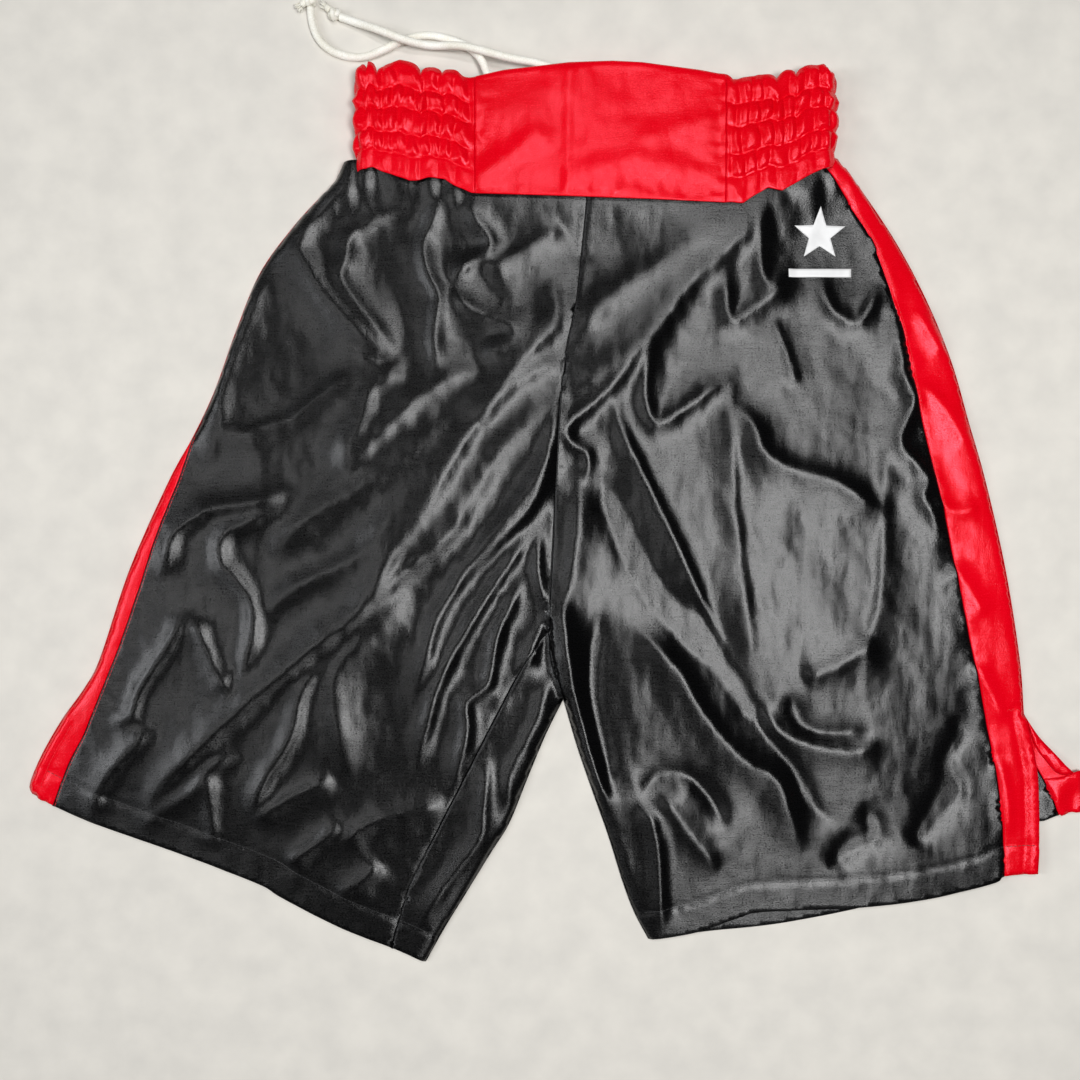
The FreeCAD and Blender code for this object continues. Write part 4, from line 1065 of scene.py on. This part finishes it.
def make_band_stitching(trees):
    seam = [(x, y + 2.2) for x, y in BAND_BOTTOM_EDGE if PANEL_LEFT <= x <= PANEL_RIGHT + 4]
    ends = [[(PANEL_LEFT - 1.2, 226), (PANEL_LEFT - 1.2, 301)],
            [(PANEL_RIGHT + 1.2, 221), (PANEL_RIGHT + 1.2, 302)]]
    rows = []
    for share in SHIRRING_SHARES:
        for low, high in ((-128, PANEL_LEFT - 2), (PANEL_RIGHT + 2, 186)):
            x = np.arange(low, high, 4.0)
            bottom, top = edges_at(x)
            rows.append(np.column_stack([x, bottom + share * (top - bottom)]).tolist())
    for name, lines, node, thread in (("waist_seam_stitches", [seam], "waist_seam_stitching", THREAD),
                                      ("elastic_end_threads", ends, "elastic_end_stitches", THREAD),
                                      ("shirring_threads", rows, "shirring_stitches", THICK_THREAD)):
        dress(stitches(name, lines, trees, thread), "red_thread", node, body="waistband")


def make_emblem(front):
    """A plain star over a plain bar, pressed onto the left thigh."""
    (low_x, low_y, _), (high_x, high_y, _) = (np.array(corner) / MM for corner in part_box("thigh_emblem"))
    x, y = (low_x + high_x) / 2, high_y - STAR_REACH
    star = []
    for k in range(10):
        reach, turn = STAR_REACH * (1, STAR_WAIST)[k % 2], math.radians(90 + 36 * k)
        star.append((x + reach * math.cos(turn), y + reach * math.sin(turn)))
    bar = [(low_x, low_y), (high_x, low_y), (high_x, low_y + BAR_WIDE), (low_x, low_y + BAR_WIDE)]
    parts = []
    for outline in (star, bar):
        edge = np.array(outline)
        border = np.vstack([a + (b - a) * np.linspace(0, 1, 12, endpoint=False)[:, None]
                            for a, b in zip(edge, np.roll(edge, -1, axis=0))])
        grid = np.array([(u, v) for u in np.arange(low_x, high_x, FILM_STEP)
                         for v in np.arange(low_y, high_y + 1, FILM_STEP)])
        grid = grid[inside(*grid.T, edge)]
        grid = grid[measure(*grid.T, np.vstack([border, border[:1]]))[0] > 0.5]
        links = [(k, (k + 1) % len(border)) for k in range(len(border))]
        flat, faces = cut_out(np.vstack([border, grid]), links, edge, 0.01)
        parts.append(([(u, v, drop([front.tree], u, v) + 0.3) for u, v in flat], faces.tolist(), flat))
    piece = thicken(gathered_mesh("thigh_star", parts), FILM_THICK, -1)
    dress(piece, "white_film", "thigh_emblem", body="hips")


# -------- the room


def make_stage():
    nodes = Nodes("pale_surface")
    place = nodes.add("ShaderNodeTexCoord").outputs["Object"]
    cloud = nodes.noise(place, (40, 40, 40), 3)
    colour = nodes.mix(nodes.spread(cloud, 0, 1), (0.665, 0.64, 0.59, 1), (0.74, 0.71, 0.65, 1))
    corners = [(FLOOR_HALF * x, FLOOR_HALF * y, 0) for x, y in ((-1, -1), (1, -1), (1, 1), (-1, 1))]
    floor = new_mesh("floor", corners, [(0, 1, 2, 3)])
    floor.data.materials.append(nodes.finish(colour, Roughness=0.9))


def make_lights():
    for name, spot, aim, size, power, colour in LIGHTS:
        data = bpy.data.lights.new(name, "AREA")
        data.shape = "RECTANGLE"
        data.size, data.size_y = size
        data.energy = power
        data.color = colour
        light = new_object(name, data)
        light.location = spot
        light.rotation_euler = (Vector(aim) - Vector(spot)).to_track_quat("-Z", "Y").to_euler()
    world = bpy.data.worlds.new("room")
    world.use_nodes = True
    world.node_tree.nodes["Background"].inputs[0].default_value = (0.95, 0.97, 1, 1)
    world.node_tree.nodes["Background"].inputs[1].default_value = 0.03
    bpy.context.scene.world = world
    bpy.context.scene.view_settings.view_transform = "Standard"


def main():
    make_camera()
    make_drawcord()
    make_stage()
    front, back = make_front(), make_back()
    make_cloth(front, back)
    band = make_band()
    make_stitching(front, back)
    make_band_stitching(band)
    make_emblem(front)
    for subpart in frame["record"]["subparts"]:
        node = frame["nodes"][subpart["node"]]
        node.data.materials.clear()
        node.data.materials.append(MATERIALS[subpart["material_slot"]])
    make_lights()


main()
